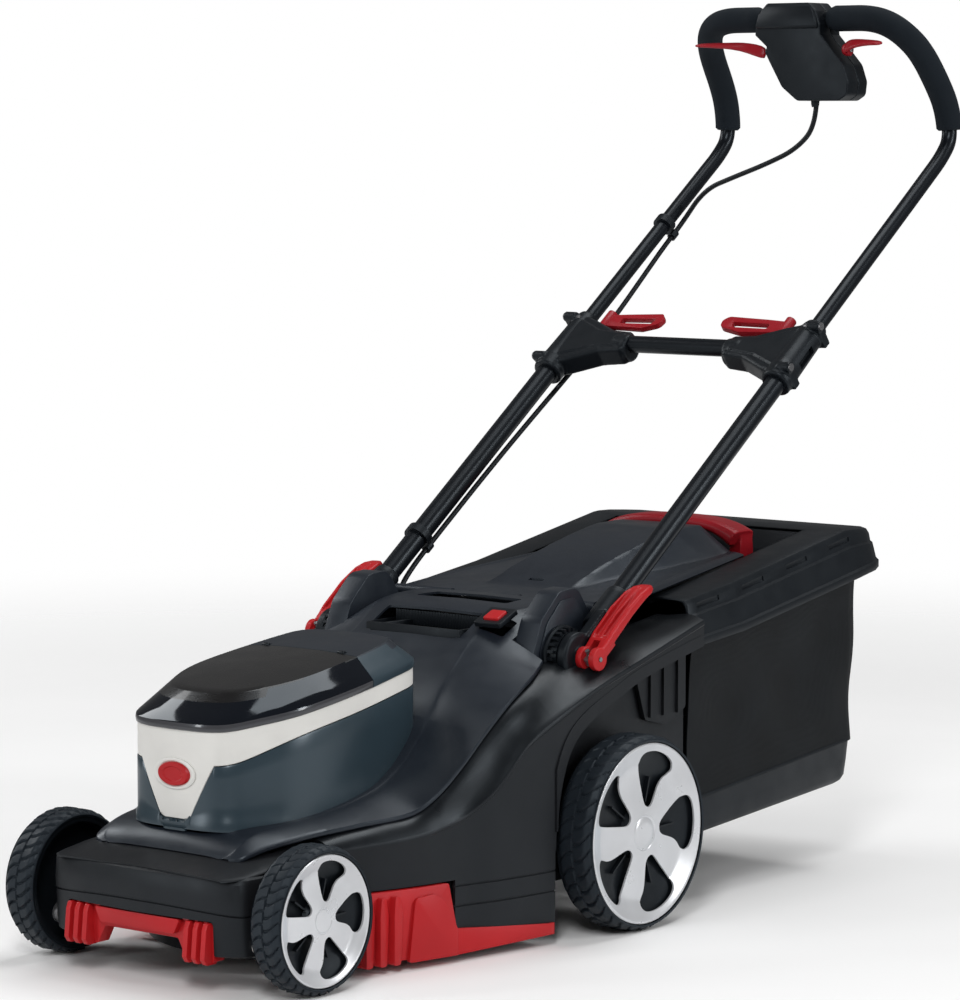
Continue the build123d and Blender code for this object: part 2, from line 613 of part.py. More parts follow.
def axle_bearings():
    bushes = []
    for wall, pivot in ((FRONT_WALL, FRONT_PIVOT), (REAR_WALL, REAR_PIVOT)):
        bush = cross_rod(BUSH_R, (wall - 8, wall + 1.5), *pivot)
        collar = cross_rod(BUSH_R + 3, (wall - 8, wall - 4), *pivot)
        bush = bush + collar - cross_rod(AXLE_R + RUNNING, (wall - 20, wall + 20), *pivot)
        bushes += [bush, other_side(bush)]
    return bushes


# ---- handle ----------------------------------------------------------------------------------
def disc_ring(x, radius):
    return cross_rod(radius, x, *PIVOT)


def handle_tower():
    """The moulded post on the deck that carries the fold joint."""
    y, z = PIVOT
    outline = [
        (349, 246), (349, 318), (372, 346), (424, 360), (456, 356), (478, 322), (483, 246),
    ]
    post = side_plate(outline, TOWER_X)
    post = fillet(post.edges().filter_by(Axis.X).sort_by(Axis.Z)[-4:], 8)
    ring = disc_ring(TEETH_X, 26)
    for tooth in range(TEETH):
        angle = 2 * pi * tooth / TEETH
        ring += rod(2.6, (TEETH_X[1] - 7, y + 27 * cos(angle), z + 27 * sin(angle)),
                    (TEETH_X[1] - 1.5, y + 27 * cos(angle), z + 27 * sin(angle)))
    return post + ring - cross_rod(BOLT_R + RUNNING, (100, 200), *PIVOT)


def handle_fork():
    """The end of a lower tube's leg: a disc on the fold axis, an arm and a sleeve for the tube."""
    disc = disc_ring(FORK_X, 27)
    plane = along_tube(PIVOT[0], (FORK_X[0] + FORK_X[1]) / 2)
    arm = plane * extrude(Rectangle(FORK_X[1] - FORK_X[0], 26), 70)
    sleeve = rod(15.5, tube_point(464), tube_point(512))
    fork = disc + arm + sleeve
    fork -= rod(LOWER_TUBE_R, tube_point(TUBE_FOOT[0]), tube_point(600))
    fork -= block((100, FORK_X[0]), (350, 452), (200, 340))
    return fork - cross_rod(BOLT_R, (100, 200), *PIVOT)


def lower_tube():
    outer = rod(LOWER_TUBE_R, tube_point(466), tube_point(TUBE_TOP_Y))
    return outer - rod(LOWER_TUBE_R - TUBE_WALL, tube_point(440), tube_point(900))


def y_bracket():
    """The moulded bracket that joins a lower tube, the crossbar and the sliding upper tube."""
    plane = Plane(origin=tube_point(CROSSBAR[0]), x_dir=(-1, 0, 0), z_dir=-TUBE_UP)
    web = plane * make_face(Polyline(
        (0, -50), (34, -24), (60, -15), (92, -14), (92, 14), (60, 15), (34, 26), (0, 48), close=True,
    ))
    body = extrude(web, 13.5, both=True)
    body += rod(17.5, tube_point(BRACKET[0]), tube_point(BRACKET[1]))
    ear = Plane(origin=tube_point(CROSSBAR[0], LOOP_X), x_dir=(1, 0, 0), z_dir=TUBE_DIR)
    body += ear * (Pos(0, 5, 16) * Box(13, 12, 23.2))
    body -= rod(LOWER_TUBE_R, tube_point(780), tube_point(TUBE_TOP_Y))
    body -= rod(UPPER_TUBE_R + RUNNING, tube_point(820), tube_point(920))
    body -= cross_rod(CROSSBAR_R, (40, 96), *CROSSBAR)
    body -= rod(2.0, loop_axis(-20), loop_axis(60))
    for y in SCREW_Y:
        body -= rod(2.5, tube_point(y, 150, 14.5), tube_point(y, 200, 14.5))
    return body


def loop_axis(along):
    """A point on a loop lever's pin, by its distance along the tube from the crossbar."""
    return tube_point(CROSSBAR[0], LOOP_X, 5.0) + TUBE_DIR * along


def crossbar():
    bar = cross_rod(CROSSBAR_R, (-95, 95), *CROSSBAR)
    return bar - cross_rod(CROSSBAR_R - TUBE_WALL, (-96, 96), *CROSSBAR)


def loop_lever():
    """A red finger loop beside the bracket, on a pin that runs along the tube."""
    plane = Plane(origin=loop_axis(40), x_dir=(-1, 0, 0), z_dir=-TUBE_UP)
    ring = Pos(38, 0) * (SlotOverall(90, 23) - SlotOverall(58, 10))
    loop = plane * extrude(ring, 3, both=True)
    return loop - rod(2.0 + RUNNING, loop_axis(0), loop_axis(70))


def cam_plane():
    """A clamping lever's plane at its pin: X outwards, Y along the tube, Z up from the tube."""
    return Plane(origin=(CLAMP_X, *PIVOT), x_dir=(1, 0, 0), z_dir=TUBE_UP)


def cam_lever():
    """A quick-release lever: two cheeks round the bolt's eye and a long curved grip."""
    cheeks = extrude(Circle(12), 12, both=True)
    grip = make_face([
        ThreePointArc((-8, 0), (-4, 60), (-7, 118)),
        Line((-7, 118), (0, 124)),
        ThreePointArc((0, 124), (7, 60), (8, 0)),
        Line((8, 0), (-8, 0)),
    ])
    lever = cheeks + extrude(grip, 12.5, both=True)
    lever -= extrude(Rectangle(60, 26), 4.4, both=True)
    lever -= Pos(-20, 0) * extrude(Rectangle(24, 40), 20, both=True)
    lever -= extrude(Circle(PIN_R + RUNNING), 30, both=True)
    return cam_plane() * lever


def handle_bolts():
    """Fold bolts with their eyes and cross pins, bracket screws, and the loop levers' pins."""
    eye = cam_plane() * extrude(Circle(8), 4, both=True)
    bolt = cross_rod(BOLT_R, (111, CLAMP_X), *PIVOT) + eye
    pin = cam_plane() * extrude(Circle(PIN_R), 11.8, both=True)
    nut = cross_rod(8, (111, 118), *PIVOT)
    pieces = [bolt + pin + nut, rod(2.0, loop_axis(8), loop_axis(54))]
    for y in SCREW_Y:
        shank = rod(2.5, tube_point(y, 160, 14.5), tube_point(y, 180, 14.5))
        pieces.append(shank + rod(4.6, tube_point(y, 180, 14.5), tube_point(y, 184, 14.5)))
    return pieces


def bar_path():
    """The handlebar's axis: up from inside the left tube, over the top and down the other side."""
    foot = tube_point(742)
    knee = tube_point(BAR_KNEE_Y)
    corner = Vector(TUBE_X, *BAR_CORNER)
    half = [foot, knee, corner]
    points = half + [Vector(-p.X, p.Y, p.Z) for p in reversed(half)]
    return FilletPolyline(*points, radius=[46, 56, 56, 46])


def bar_sweep(outer, inner):
    path = bar_path()
    start = Plane(origin=path @ 0, z_dir=path % 0)
    ring = Circle(outer) - Circle(inner) if inner else Circle(outer)
    return sweep(start * ring, path=path)


def handlebar():
    return bar_sweep(UPPER_TUBE_R, UPPER_TUBE_R - TUBE_WALL)


def foam_grips():
    sleeve = bar_sweep(GRIP_R, UPPER_TUBE_R)
    sleeve &= block((-400, 400), (900, 1400), (GRIP_FOOT_Z, 1100))
    return sleeve - block((-SWITCH_HALF, SWITCH_HALF), (900, 1300), (800, 1100))


def switch_form(inset, y):
    """The switch box seen from the front: a bevelled cap over a body that leans to the left."""
    outline = [
        (-46, 962), (-40, 988), (-30, 998), (30, 998), (40, 988), (46, 962), (60, 946), (84, 920),
        (88, 894), (76, 882), (14, 881), (-10, 899), (-30, 938),
    ]
    if inset:
        middle_x, middle_z, scale = 22, 938, 1 - inset / 50
        outline = [
            (middle_x + (x - middle_x) * scale, middle_z + (z - middle_z) * scale) for x, z in outline
        ]
    return front_plate(outline, y)


def bar_space():
    return cross_rod(UPPER_TUBE_R, (-60, 60), *BAR_CORNER)


def switch_box_front():
    box = switch_form(0, (SWITCH_Y[0], SWITCH_SPLIT_Y))
    box -= switch_form(SKIN, (SWITCH_Y[0] + SKIN, SWITCH_SPLIT_Y))
    box += block((-45, 45), (1068, SWITCH_SPLIT_Y), (966, 994)) - bar_space()
    box -= bar_space() + bail_shaft(BAIL_R + RUNNING)
    return box - rod(CABLE_R + 1, (34, 1074, 870), (34, 1074, 890))


def switch_box_rear():
    box = switch_form(0, (SWITCH_SPLIT_Y, SWITCH_Y[1]))
    box -= switch_form(SKIN, (SWITCH_SPLIT_Y, SWITCH_Y[1] - SKIN))
    box += block((-45, 45), (SWITCH_SPLIT_Y, 1098), (966, 994)) - bar_space()
    x, z = BUTTON_AT
    return box - bar_space() - rod(BUTTON_R + 0.4, (x, 1090, z), (x, 1120, z))


def bail_shaft(radius):
    return cross_rod(radius, (-60, 90), *BAIL_AXIS)


def bail_lever():
    """The red stop bail: two paddles on one shaft through the switch box."""
    y, z = BAIL_AXIS
    shaft = cross_rod(BAIL_R, (-50, 92), y, z)
    arm = [(y - 5, z - 5), (y + 5, z - 5), (y + 4, z + 5), (y - 12, z + 6)]
    paddle = [(y - 14, z - 1), (y - 8, z - 2), (y - 7, z + 9), (y - 13, z + 10)]
    near = side_plate(arm, (92, 100)) + side_plate(paddle, (92, 134))
    far = side_plate(arm, (-58, -50)) + side_plate(paddle, (-134, -50))
    return shaft + near + far


def start_button():
    x, z = BUTTON_AT
    cap = rod(BUTTON_R, (x, 1095, z), (x, SWITCH_Y[1] + 5, z))
    return cap + rod(BUTTON_R + 2, (x, 1092, z), (x, 1096, z))


# ---- cable -------------------------------------------------------------------------------------
def cable_point(y, drop=CABLE_DROP, x=CABLE_X):
    """A point of the cable's route beside the right-hand tube."""
    point = tube_point(y, x, drop)
    return (point.X, point.Y, point.Z)


CABLE_UPPER = [
    (34, 1074, 886), (34, 1073, 852), (8, 1070, 824), (-32, 1065, 806), (-78, 1063, 790),
    (-122, 1062, 774), cable_point(1054), cable_point(1020), cable_point(975, -20),
    cable_point(920, -24), cable_point(860, -25), cable_point(800, -22),
]
CABLE_LOWER = [
    cable_point(800, -22), cable_point(740, -19), cable_point(670, -17), cable_point(604),
    cable_point(526), cable_point(500, -24, -152), (-138, 489, 292), (-128, 490, 262),
]


def cable_radii(points):
    """Each bend is as wide as its two runs allow."""
    radii = []
    for before, at, after in zip(points, points[1:], points[2:]):
        one, two = Vector(*at) - Vector(*before), Vector(*after) - Vector(*at)
        turn = one.get_angle(two) * pi / 180
        radii.append(0.45 * min(one.length, two.length) / (sin(turn / 2) / cos(turn / 2)))
    return radii


def cable(points, radius=CABLE_R):
    path = FilletPolyline(*points, radius=cable_radii(points))
    start = Plane(origin=path @ 0, z_dir=path % 0)
    return sweep(start * Circle(radius), path=path)


def report_cable(name, points):
    """Prints a cable's length, its bends' radii and its volume over that of a straight tube."""
    length = FilletPolyline(*points, radius=cable_radii(points)).length
    share = cable(points).volume / (pi * CABLE_R**2 * length)
    radii = [round(radius) for radius in cable_radii(points)]
    print(f"{name}: length {length:.0f}, radii {radii}, volume {share:.4f}")


def cable_clip(y, tube_r):
    """A clip round the right-hand tube that holds the cable under it."""
    def about_tube(radius, reach):
        return rod(radius, tube_point(y - reach, -TUBE_X), tube_point(y + reach, -TUBE_X))

    def about_cable(radius, reach):
        return rod(radius, cable_point(y - reach), cable_point(y + reach))

    clip = about_tube(tube_r + 3.6, 4) + about_cable(CABLE_R + 2.4, 4)
    return clip - about_tube(tube_r, 9) - about_cable(CABLE_R + 0.6, 9)


# ---- discharge flap and grass box ------------------------------------------------------------------
def flap_top(y):
    return 337.0 + FLAP_SLOPE * (y - FLAP_HINGE[0])


def rear_flap():
    """The sprung cover over the outlet, with a raised tunnel in the middle."""
    y0, y1 = FLAP_HINGE[0] + 6.5, 816.0
    plan = [(146, y0), (146, 600), (113, y1), (-113, y1), (-146, 600), (-146, y0)]
    thick = 3.0
    top = [(y0, flap_top(y0)), (y1, flap_top(y1)), (y1, flap_top(y1) - thick), (y0, flap_top(y0) - thick)]
    sheet = side_plate(top, (-150, 150)) & flat_plate(plan, (200, 500))
    hump = side_plate([(560, flap_top(560)), (786, 391), (y1, 388), (y1, flap_top(y1) - 1)], (-74, 74))
    under = [(572, flap_top(572) - 5), (786, 388), (y1 + 5, 385), (y1 + 5, 350), (786, 340)]
    hollow = side_plate(under, (-71, 71))
    barrels = [cross_rod(7.0, x, *FLAP_HINGE) for x in ((-140, -60), (-35, 35), (60, 140))]
    leaf = block((-140, 140), (FLAP_HINGE[0], y0 + 3), (334, 337))
    leaf -= block((-60, -35), (490, 507.5), (300, 400)) + block((35, 60), (490, 507.5), (300, 400))
    flap = sheet + hump - hollow + barrels + leaf
    return flap - cross_rod(FLAP_ROD_R + RUNNING, (-160, 160), *FLAP_HINGE)


def flap_rod():
    y, z = FLAP_HINGE
    rod_piece = cross_rod(FLAP_ROD_R, (-146, 146), y, z)
    stands = [
        block((x, x + 15), (y - 5, y + 5), (310, z)) + cross_rod(5.5, (x, x + 15), y, z) for x in (-55, 40)
    ]
    return rod_piece + stands


def recess_space(grow):
    """The hollow in the box's top for the flap and the grip, or its outer form when grown."""
    floor = [(580.0, 328.5 - grow), (822.0, 352.5 - grow), (903.0 + grow, 352.5 - grow)]
    half = RECESS_HALF + grow
    return side_plate(floor + [(903.0 + grow, 460.0), (580.0, 460.0)], (-half, half))


def box_lid():
    """The moulded top of the grass box, open below, with a recess for the flap and the grip."""
    outer = side_plate(BOX_TOP + BOX_LIP[::-1], (-BOX_HALF, BOX_HALF))
    lowered = [(y, z - SKIN) for y, z in BOX_TOP[:4]] + [(1004.0, 350.0), (1004.0, 300.0), (590.0, 270.0)]
    inner = side_plate([(590.0, 333.0)] + lowered[1:], (-BOX_HALF + SKIN, BOX_HALF - SKIN))
    lid = outer - inner
    for side in (-1, 1):
        corner = [(165, 1012), (202, 920), (210, 920), (210, 1020), (165, 1020)]
        corner = [(side * x, y) for x, y in corner]
        lid -= flat_plate(corner, (250, 450))
        wall = [(side * 161, 1009), (side * 165, 1012), (side * 200, 925), (side * 196.5, 923)]
        lid += flat_plate(wall, (200, 450)) & outer
    return lid + (recess_space(3.0) & outer) - recess_space(0.0)


def box_handle():
    """The red grip that bridges the recess in the box's lid."""
    path = ThreePointArc((-88, 850, 378), (0, 850, 409), (88, 850, 378))
    section = Plane(origin=path @ 0, x_dir=(0, 1, 0), z_dir=path % 0) * Rectangle(26, 9)
    grip = sweep(section, path=path)
    feet = [block(sorted((s * 74, s * 95)), (838, 862), (352.5, 384)) for s in (-1, 1)]
    return grip + feet


def box_fabric():
    """The textile body of the grass box, open at the front and under the lid."""
    top = [(BOX_FRONT, 285.0), (694.0, 294.0), (930.0, 337.0)]
    outer = side_plate(top + [(940.0, 338.0), (927.0, 150.0), (614.0, 119.0)], (-193, 193))
    space = [(590, 400), (935, 400), (935.5, 330), (922.5, 151), (914, 140), (590, 108)]
    return outer - side_plate(space, (-189, 189))


def box_tray():
    outer = side_plate([(614, 118), (927, 149), (912, 96), (700, 76), (614, 73)], (-193, 193))
    space = [(590, 130), (922, 160), (908, 99), (700, 79), (590, 76)]
    return outer - side_plate(space, (-189, 189))


# ---- write the nodes --------------------------------------------------------------------------
def build():
    save("deck_shell", deck_shell())
    save("side_skirts", *side_skirts())
    save("side_fenders", *side_fenders())
    save("front_bumper", front_bumper())
    save("grass_combs", front_comb(), side_comb(), other_side(side_comb()))
    save("hood", hood())
    save("handle_insert", carry_well(), button_bezel())
    save("height_button", height_button())
    save("motor_cowl", motor_cowl())
    save("cowl_band", cowl_band())
    save("cowl_rear_cap", cowl_rear_cap())
    save("battery_lid", battery_lid())
    save("battery_bay", battery_bay())
    save("battery_pack", battery_pack())
    save("circuit_board", circuit_board())
    save("motor_housing", motor_housing())
    save("motor_shaft", motor_shaft())
    save("cooling_fan", cooling_fan())
    save("blade", blade())
    save("blade_bolt", blade_bolt())
    save("front_axle", crank_axle(FRONT, FRONT_PIVOT, FRONT_WALL))
    save("rear_axle", crank_axle(REAR, REAR_PIVOT, REAR_WALL))
    save("axle_bearings", *axle_bearings())
    for place, wheel in (("front", FRONT), ("rear", REAR)):
        for piece, make in (("tyre", tyre), ("wheel_core", wheel_core), ("wheel_trim", wheel_trim)):
            save(f"{piece}_{place}_left", make(wheel))
            save(f"{piece}_{place}_right", other_side(make(wheel)))
    save("handle_towers", handle_tower(), other_side(handle_tower()))
    save("handle_forks", handle_fork(), other_side(handle_fork()))
    save("frame_tubes", lower_tube(), other_side(lower_tube()), crossbar())
    save("y_brackets", y_bracket(), other_side(y_bracket()))
    save("handle_bolts", *[piece for p in handle_bolts() for piece in (p, other_side(p))])
    save("cam_lever_left", cam_lever())
    save("cam_lever_right", other_side(cam_lever()))
    save("loop_lever_left", loop_lever())
    save("loop_lever_right", other_side(loop_lever()))
    save("handlebar", handlebar())
    save("foam_grips", foam_grips())
    save("switch_box_front", switch_box_front())
    save("switch_box_rear", switch_box_rear())
    save("bail_lever", bail_lever())
    save("start_button", start_button())
    for name, route in (("cable_upper", CABLE_UPPER), ("cable_lower", CABLE_LOWER)):
        save(name, cable(route))
        report_cable(name, route)
    save("cable_clip_upper", cable_clip(UPPER_CLIP_Y, UPPER_TUBE_R))
    save("cable_clip_lower", cable_clip(LOWER_CLIP_Y, LOWER_TUBE_R))
    save("rear_flap", rear_flap())
    save("flap_rod", flap_rod())
    save("box_lid", box_lid())
    save("box_fabric", box_fabric())
    save("box_tray", box_tray())
    save("box_handle", box_handle())


build()
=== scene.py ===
import json
from math import atan2, cos, pi, radians, sin

import bmesh
import bpy
from mathutils import Matrix, Vector


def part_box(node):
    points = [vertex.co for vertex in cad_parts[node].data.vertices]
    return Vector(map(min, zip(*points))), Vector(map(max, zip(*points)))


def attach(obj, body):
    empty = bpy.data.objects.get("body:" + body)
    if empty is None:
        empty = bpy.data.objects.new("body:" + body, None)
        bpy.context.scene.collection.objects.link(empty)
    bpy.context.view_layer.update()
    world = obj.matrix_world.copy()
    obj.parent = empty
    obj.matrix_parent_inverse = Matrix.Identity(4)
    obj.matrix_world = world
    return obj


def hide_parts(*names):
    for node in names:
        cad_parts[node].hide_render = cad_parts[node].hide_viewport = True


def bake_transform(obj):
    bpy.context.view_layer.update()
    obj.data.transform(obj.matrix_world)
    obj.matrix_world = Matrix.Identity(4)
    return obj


# The looks of a cordless lawn mower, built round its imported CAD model.
# Shapes are drawn in millimetres with the front axle at y = 0, the ground at z = 0 and the mower's
# left at +X, as the CAD source draws them; place() turns such a point into the row frame's metres.

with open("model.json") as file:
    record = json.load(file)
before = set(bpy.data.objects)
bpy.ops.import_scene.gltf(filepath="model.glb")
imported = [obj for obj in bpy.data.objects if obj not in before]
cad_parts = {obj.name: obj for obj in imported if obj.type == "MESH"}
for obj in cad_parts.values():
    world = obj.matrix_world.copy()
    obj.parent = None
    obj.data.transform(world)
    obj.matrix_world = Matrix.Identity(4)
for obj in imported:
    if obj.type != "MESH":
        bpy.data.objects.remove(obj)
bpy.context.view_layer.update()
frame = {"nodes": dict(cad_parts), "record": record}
MM = 0.001
FRONT_AXLE_Y = sum(corner.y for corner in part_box("tyre_front_left")) / 2


def place(x, y, z):
    return Vector((x * MM, y * MM + FRONT_AXLE_Y, z * MM))


# ---- camera, light and floor -------------------------------------------------------------------
CAMERA_AT = (2733.3, -2931.9, 856.8)
CAMERA_PITCH, CAMERA_TURN = 84.611, 38.748
CAMERA_LENS, SENSOR = 144.39, 36.0


def make_camera():
    camera = bpy.data.objects.new("camera", bpy.data.cameras.new("camera"))
    bpy.context.scene.collection.objects.link(camera)
    camera.location = place(*CAMERA_AT)
    camera.rotation_euler = (radians(CAMERA_PITCH), 0, radians(CAMERA_TURN))
    camera.data.lens, camera.data.sensor_width = CAMERA_LENS, SENSOR
    camera.data.clip_start, camera.data.clip_end = 0.05, 60
    bpy.context.scene.camera = camera


# how bright the white world is for the mower and for the camera
AMBIENT, BACKDROP = 0.15, 1.0


def area_light(name, at, towards, size, power):
    light = bpy.data.objects.new(name, bpy.data.lights.new(name, "AREA"))
    bpy.context.scene.collection.objects.link(light)
    light.data.shape, light.data.energy = "RECTANGLE", power
    light.data.size, light.data.size_y = size
    light.location = at
    light.rotation_euler = (Vector(towards) - Vector(at)).to_track_quat("-Z", "Y").to_euler()


def make_lights():
    area_light("key", (2.2, -3.4, 3.2), (0, -0.2, 0.3), (0.9, 2.2), 100)
    area_light("side_strip", (3.4, 1.2, 1.7), (0, 0.1, 0.3), (0.5, 2.4), 60)
    area_light("front_strip", (-1.5, -3.3, 1.1), (0, -0.3, 0.2), (0.35, 1.8), 26)
    area_light("far_fill", (-3.4, -0.6, 2.2), (0, 0, 0.4), (1.2, 2.4), 50)
    area_light("top", (0.2, 1.4, 4.0), (0, 0.1, 0), (2.4, 2.4), 80)
    world = bpy.data.worlds.new("studio")
    bpy.context.scene.world = world
    world.use_nodes = True
    tree = world.node_tree
    seen = tree.nodes.new("ShaderNodeLightPath").outputs["Is Camera Ray"]
    strength = tree.nodes.new("ShaderNodeMapRange")
    strength.inputs["To Min"].default_value = AMBIENT
    strength.inputs["To Max"].default_value = BACKDROP
    tree.links.new(seen, strength.inputs["Value"])
    background = tree.nodes["Background"]
    background.inputs["Color"].default_value = (1, 1, 1, 1)
    tree.links.new(strength.outputs["Result"], background.inputs["Strength"])
    bpy.context.scene.view_settings.view_transform = "Standard"


# ---- materials ----------------------------------------------------------------------------------
THREADS_PER_METRE = 900.0
WAVE_BANDS = 3.18                   # bands per metre of a wave texture at scale 1
COOL_SHEEN = (0.80, 0.91, 1.0, 1.0)


class Nodes:
    """A material's node tree with short ways to add to it."""

    def __init__(self, name):
        self.material = bpy.data.materials.new(name)
        self.material.use_nodes = True
        self.tree = self.material.node_tree
        self.shader = self.tree.nodes["Principled BSDF"]
        self.position = self.add("ShaderNodeTexCoord").outputs["Object"]

    def add(self, kind, **settings):
        node = self.tree.nodes.new(kind)
        for key, value in settings.items():
            setattr(node, key, value)
        return node

    def link(self, output, to):
        self.tree.links.new(output, to)

    def set(self, **values):
        for key, value in values.items():
            self.shader.inputs[key.replace("_", " ")].default_value = value

    def noise(self, scale, detail):
        """Noise over the object's own position, in cells per metre."""
        texture = self.add("ShaderNodeTexNoise")
        texture.inputs["Scale"].default_value = scale
        texture.inputs["Detail"].default_value = detail
        self.link(self.position, texture.inputs["Vector"])
        return texture.outputs["Fac"]

    def ramp(self, factor, low, high, start=0.3, end=0.7):
        """A value or colour that goes from low to high as the factor goes from start to end."""
        ramp = self.add("ShaderNodeValToRGB")
        for stop, at, colour in zip(ramp.color_ramp.elements, (start, end), (low, high)):
            stop.position = at
            stop.color = colour if isinstance(colour, tuple) else (colour, colour, colour, 1)
        self.link(factor, ramp.inputs["Fac"])
        return ramp.outputs["Color"]

    def bump(self, height, distance, strength=1.0):
        bump = self.add("ShaderNodeBump")
        bump.inputs["Distance"].default_value = distance
        bump.inputs["Strength"].default_value = strength
        self.link(height, bump.inputs["Height"])
        self.link(bump.outputs["Normal"], self.shader.inputs["Normal"])


def shade(colour, factor):
    return tuple(min(1.0, channel * factor) for channel in colour) + (1.0,)


def plastic(name, colour, rough, grain=0.00006, spread=0.06, grain_scale=1400, coat=0.0, metal=0.0,
            shine=0.24):
    """Moulded plastic: a fine grain, slightly uneven gloss and a little colour variation."""
    nodes = Nodes(name)
    blotch = nodes.noise(9, 4)
    nodes.link(nodes.ramp(blotch, shade(colour, 0.9), shade(colour, 1.1)), nodes.shader.inputs["Base Color"])
    uneven = nodes.noise(38, 5)
    nodes.link(nodes.ramp(uneven, rough - spread, rough + spread), nodes.shader.inputs["Roughness"])
    nodes.bump(nodes.noise(grain_scale, 2), grain)
    nodes.set(Coat_Weight=coat, Coat_Roughness=0.06, Metallic=metal, Specular_IOR_Level=shine,
              Specular_Tint=COOL_SHEEN)
    return nodes.material


def woven(name, colour):
    """Close black cloth: crossing threads, a soft sheen and faint dusty patches."""
    nodes = Nodes(name)
    patch = nodes.noise(14, 4)
    nodes.link(nodes.ramp(patch, shade(colour, 0.85), shade(colour, 1.5)), nodes.shader.inputs["Base Color"])
    height = None
    for axis in ("Y", "Z", "X"):
        wave = nodes.add("ShaderNodeTexWave", bands_direction=axis)
        wave.inputs["Scale"].default_value = THREADS_PER_METRE / WAVE_BANDS
        nodes.link(nodes.position, wave.inputs["Vector"])
        if height is None:
            height = wave.outputs["Fac"]
            continue
        total = nodes.add("ShaderNodeMath", operation="ADD")
        nodes.link(height, total.inputs[0])
        nodes.link(wave.outputs["Fac"], total.inputs[1])
        height = total.outputs["Value"]
    nodes.bump(height, 0.0002, 0.6)
    nodes.set(Roughness=0.72, Specular_IOR_Level=0.2, Sheen_Weight=0.03, Sheen_Roughness=0.4)
    return nodes.material


# what plastic() is told for each slot; grain is its height in metres, grain_scale its cells per metre
FINISHES = {
    "deck_plastic": dict(colour=(0.0085, 0.009, 0.0105), rough=0.45, grain=0.00005),
    "hood_plastic": dict(colour=(0.0095, 0.0125, 0.0185), rough=0.36, grain=0.00003, shine=0.45),
    "cowl_teal": dict(colour=(0.020, 0.035, 0.046), rough=0.31, grain=0.00001, spread=0.02, shine=0.6),
    "band_light": dict(colour=(0.72, 0.71, 0.68), rough=0.42, grain=0.00004),
    "lid_black": dict(colour=(0.004, 0.005, 0.008), rough=0.05, grain=0.000004, spread=0.02,
                      grain_scale=200, shine=0.35),
    "fender_black": dict(colour=(0.006, 0.007, 0.0085), rough=0.33, grain=0.00003),
    "lid_smoke": dict(colour=(0.0075, 0.0068, 0.0068), rough=0.28, grain=0.00002, spread=0.05,
                      grain_scale=500, coat=0.3),
    "lid_edge": dict(colour=(0.05, 0.05, 0.055), rough=0.2, grain=0.00001, spread=0.03, grain_scale=400,
                     coat=0.4),
    "red_plastic": dict(colour=(0.422, 0.0112, 0.0136), rough=0.38),
    "dark_red": dict(colour=(0.288, 0.0080, 0.0144), rough=0.36, grain=0.00005),
    "black_plastic": dict(colour=(0.0045, 0.0058, 0.0078), rough=0.42),
    "tyre_rubber": dict(colour=(0.012, 0.016, 0.021), rough=0.5, grain=0.00008, spread=0.08,
                        grain_scale=900),
    "silver_trim": dict(colour=(0.60, 0.61, 0.63), rough=0.3, grain=0.00001, spread=0.04, grain_scale=2200,
                        metal=0.4),
    "tube_paint": dict(colour=(0.004, 0.005, 0.007), rough=0.3, grain=0.0, spread=0.02, grain_scale=500),
    "foam": dict(colour=(0.0055, 0.008, 0.0115), rough=0.85, grain=0.00025, spread=0.04, grain_scale=1800),
    "steel": dict(colour=(0.42, 0.43, 0.44), rough=0.35, metal=0.9),
    "zinc": dict(colour=(0.30, 0.30, 0.31), rough=0.3, metal=0.9),
    "cable_sheath": dict(colour=(0.006, 0.006, 0.007), rough=0.4),
    "motor_alloy": dict(colour=(0.4, 0.41, 0.42), rough=0.4, metal=0.9),
    "board_green": dict(colour=(0.02, 0.16, 0.06), rough=0.4),
    "battery_case": dict(colour=(0.02, 0.022, 0.025), rough=0.5),
    "bush_white": dict(colour=(0.7, 0.7, 0.68), rough=0.4),
}
CLOTH = (0.0035, 0.0048, 0.0062)
MATERIALS = {}


def material(name):
    if name not in MATERIALS:
        finish = name + "_finish"
        MATERIALS[name] = woven(finish, CLOTH) if name == "bag_fabric" else plastic(finish, **FINISHES[name])
    return MATERIALS[name]


NODE_SLOTS = {part["node"]: part["material_slot"] for part in frame["record"]["subparts"]}


def dress_cad_nodes():
    for name, node in frame["nodes"].items():
        node.data.materials.clear()
        node.data.materials.append(material(NODE_SLOTS[name]))


# ---- making meshes ------------------------------------------------------------------------------
def mix(a, b, t):
    return a + (b - a) * t


def smoothstep(low, high, value):
    t = min(1.0, max(0.0, (value - low) / (high - low)))
    return t * t * (3 - 2 * t)


def along(knots, y):
    """The value at y of a smooth line through knots of (y, value); the values may be tuples."""
    ys = [knot[0] for knot in knots]
    y = min(max(y, ys[0]), ys[-1])
    i = max(j for j in range(len(ys) - 1) if ys[j] <= y)
    t = (y - ys[i]) / (ys[i + 1] - ys[i])
    four = [knots[min(max(k, 0), len(ys) - 1)] for k in (i - 1, i, i + 1, i + 2)]

    def one(a, b, c, d):
        span = ys[i + 1] - ys[i]
        start = (c - a) / max(four[2][0] - four[0][0], 1e-6) * span
        end = (d - b) / max(four[3][0] - four[1][0], 1e-6) * span
        return ((2 * t**3 - 3 * t**2 + 1) * b + (t**3 - 2 * t**2 + t) * start
                + (3 * t**2 - 2 * t**3) * c + (t**3 - t**2) * end)

    if isinstance(four[0][1], tuple):
        return tuple(one(*values) for values in zip(*(knot[1] for knot in four)))
    return one(*(knot[1] for knot in four))


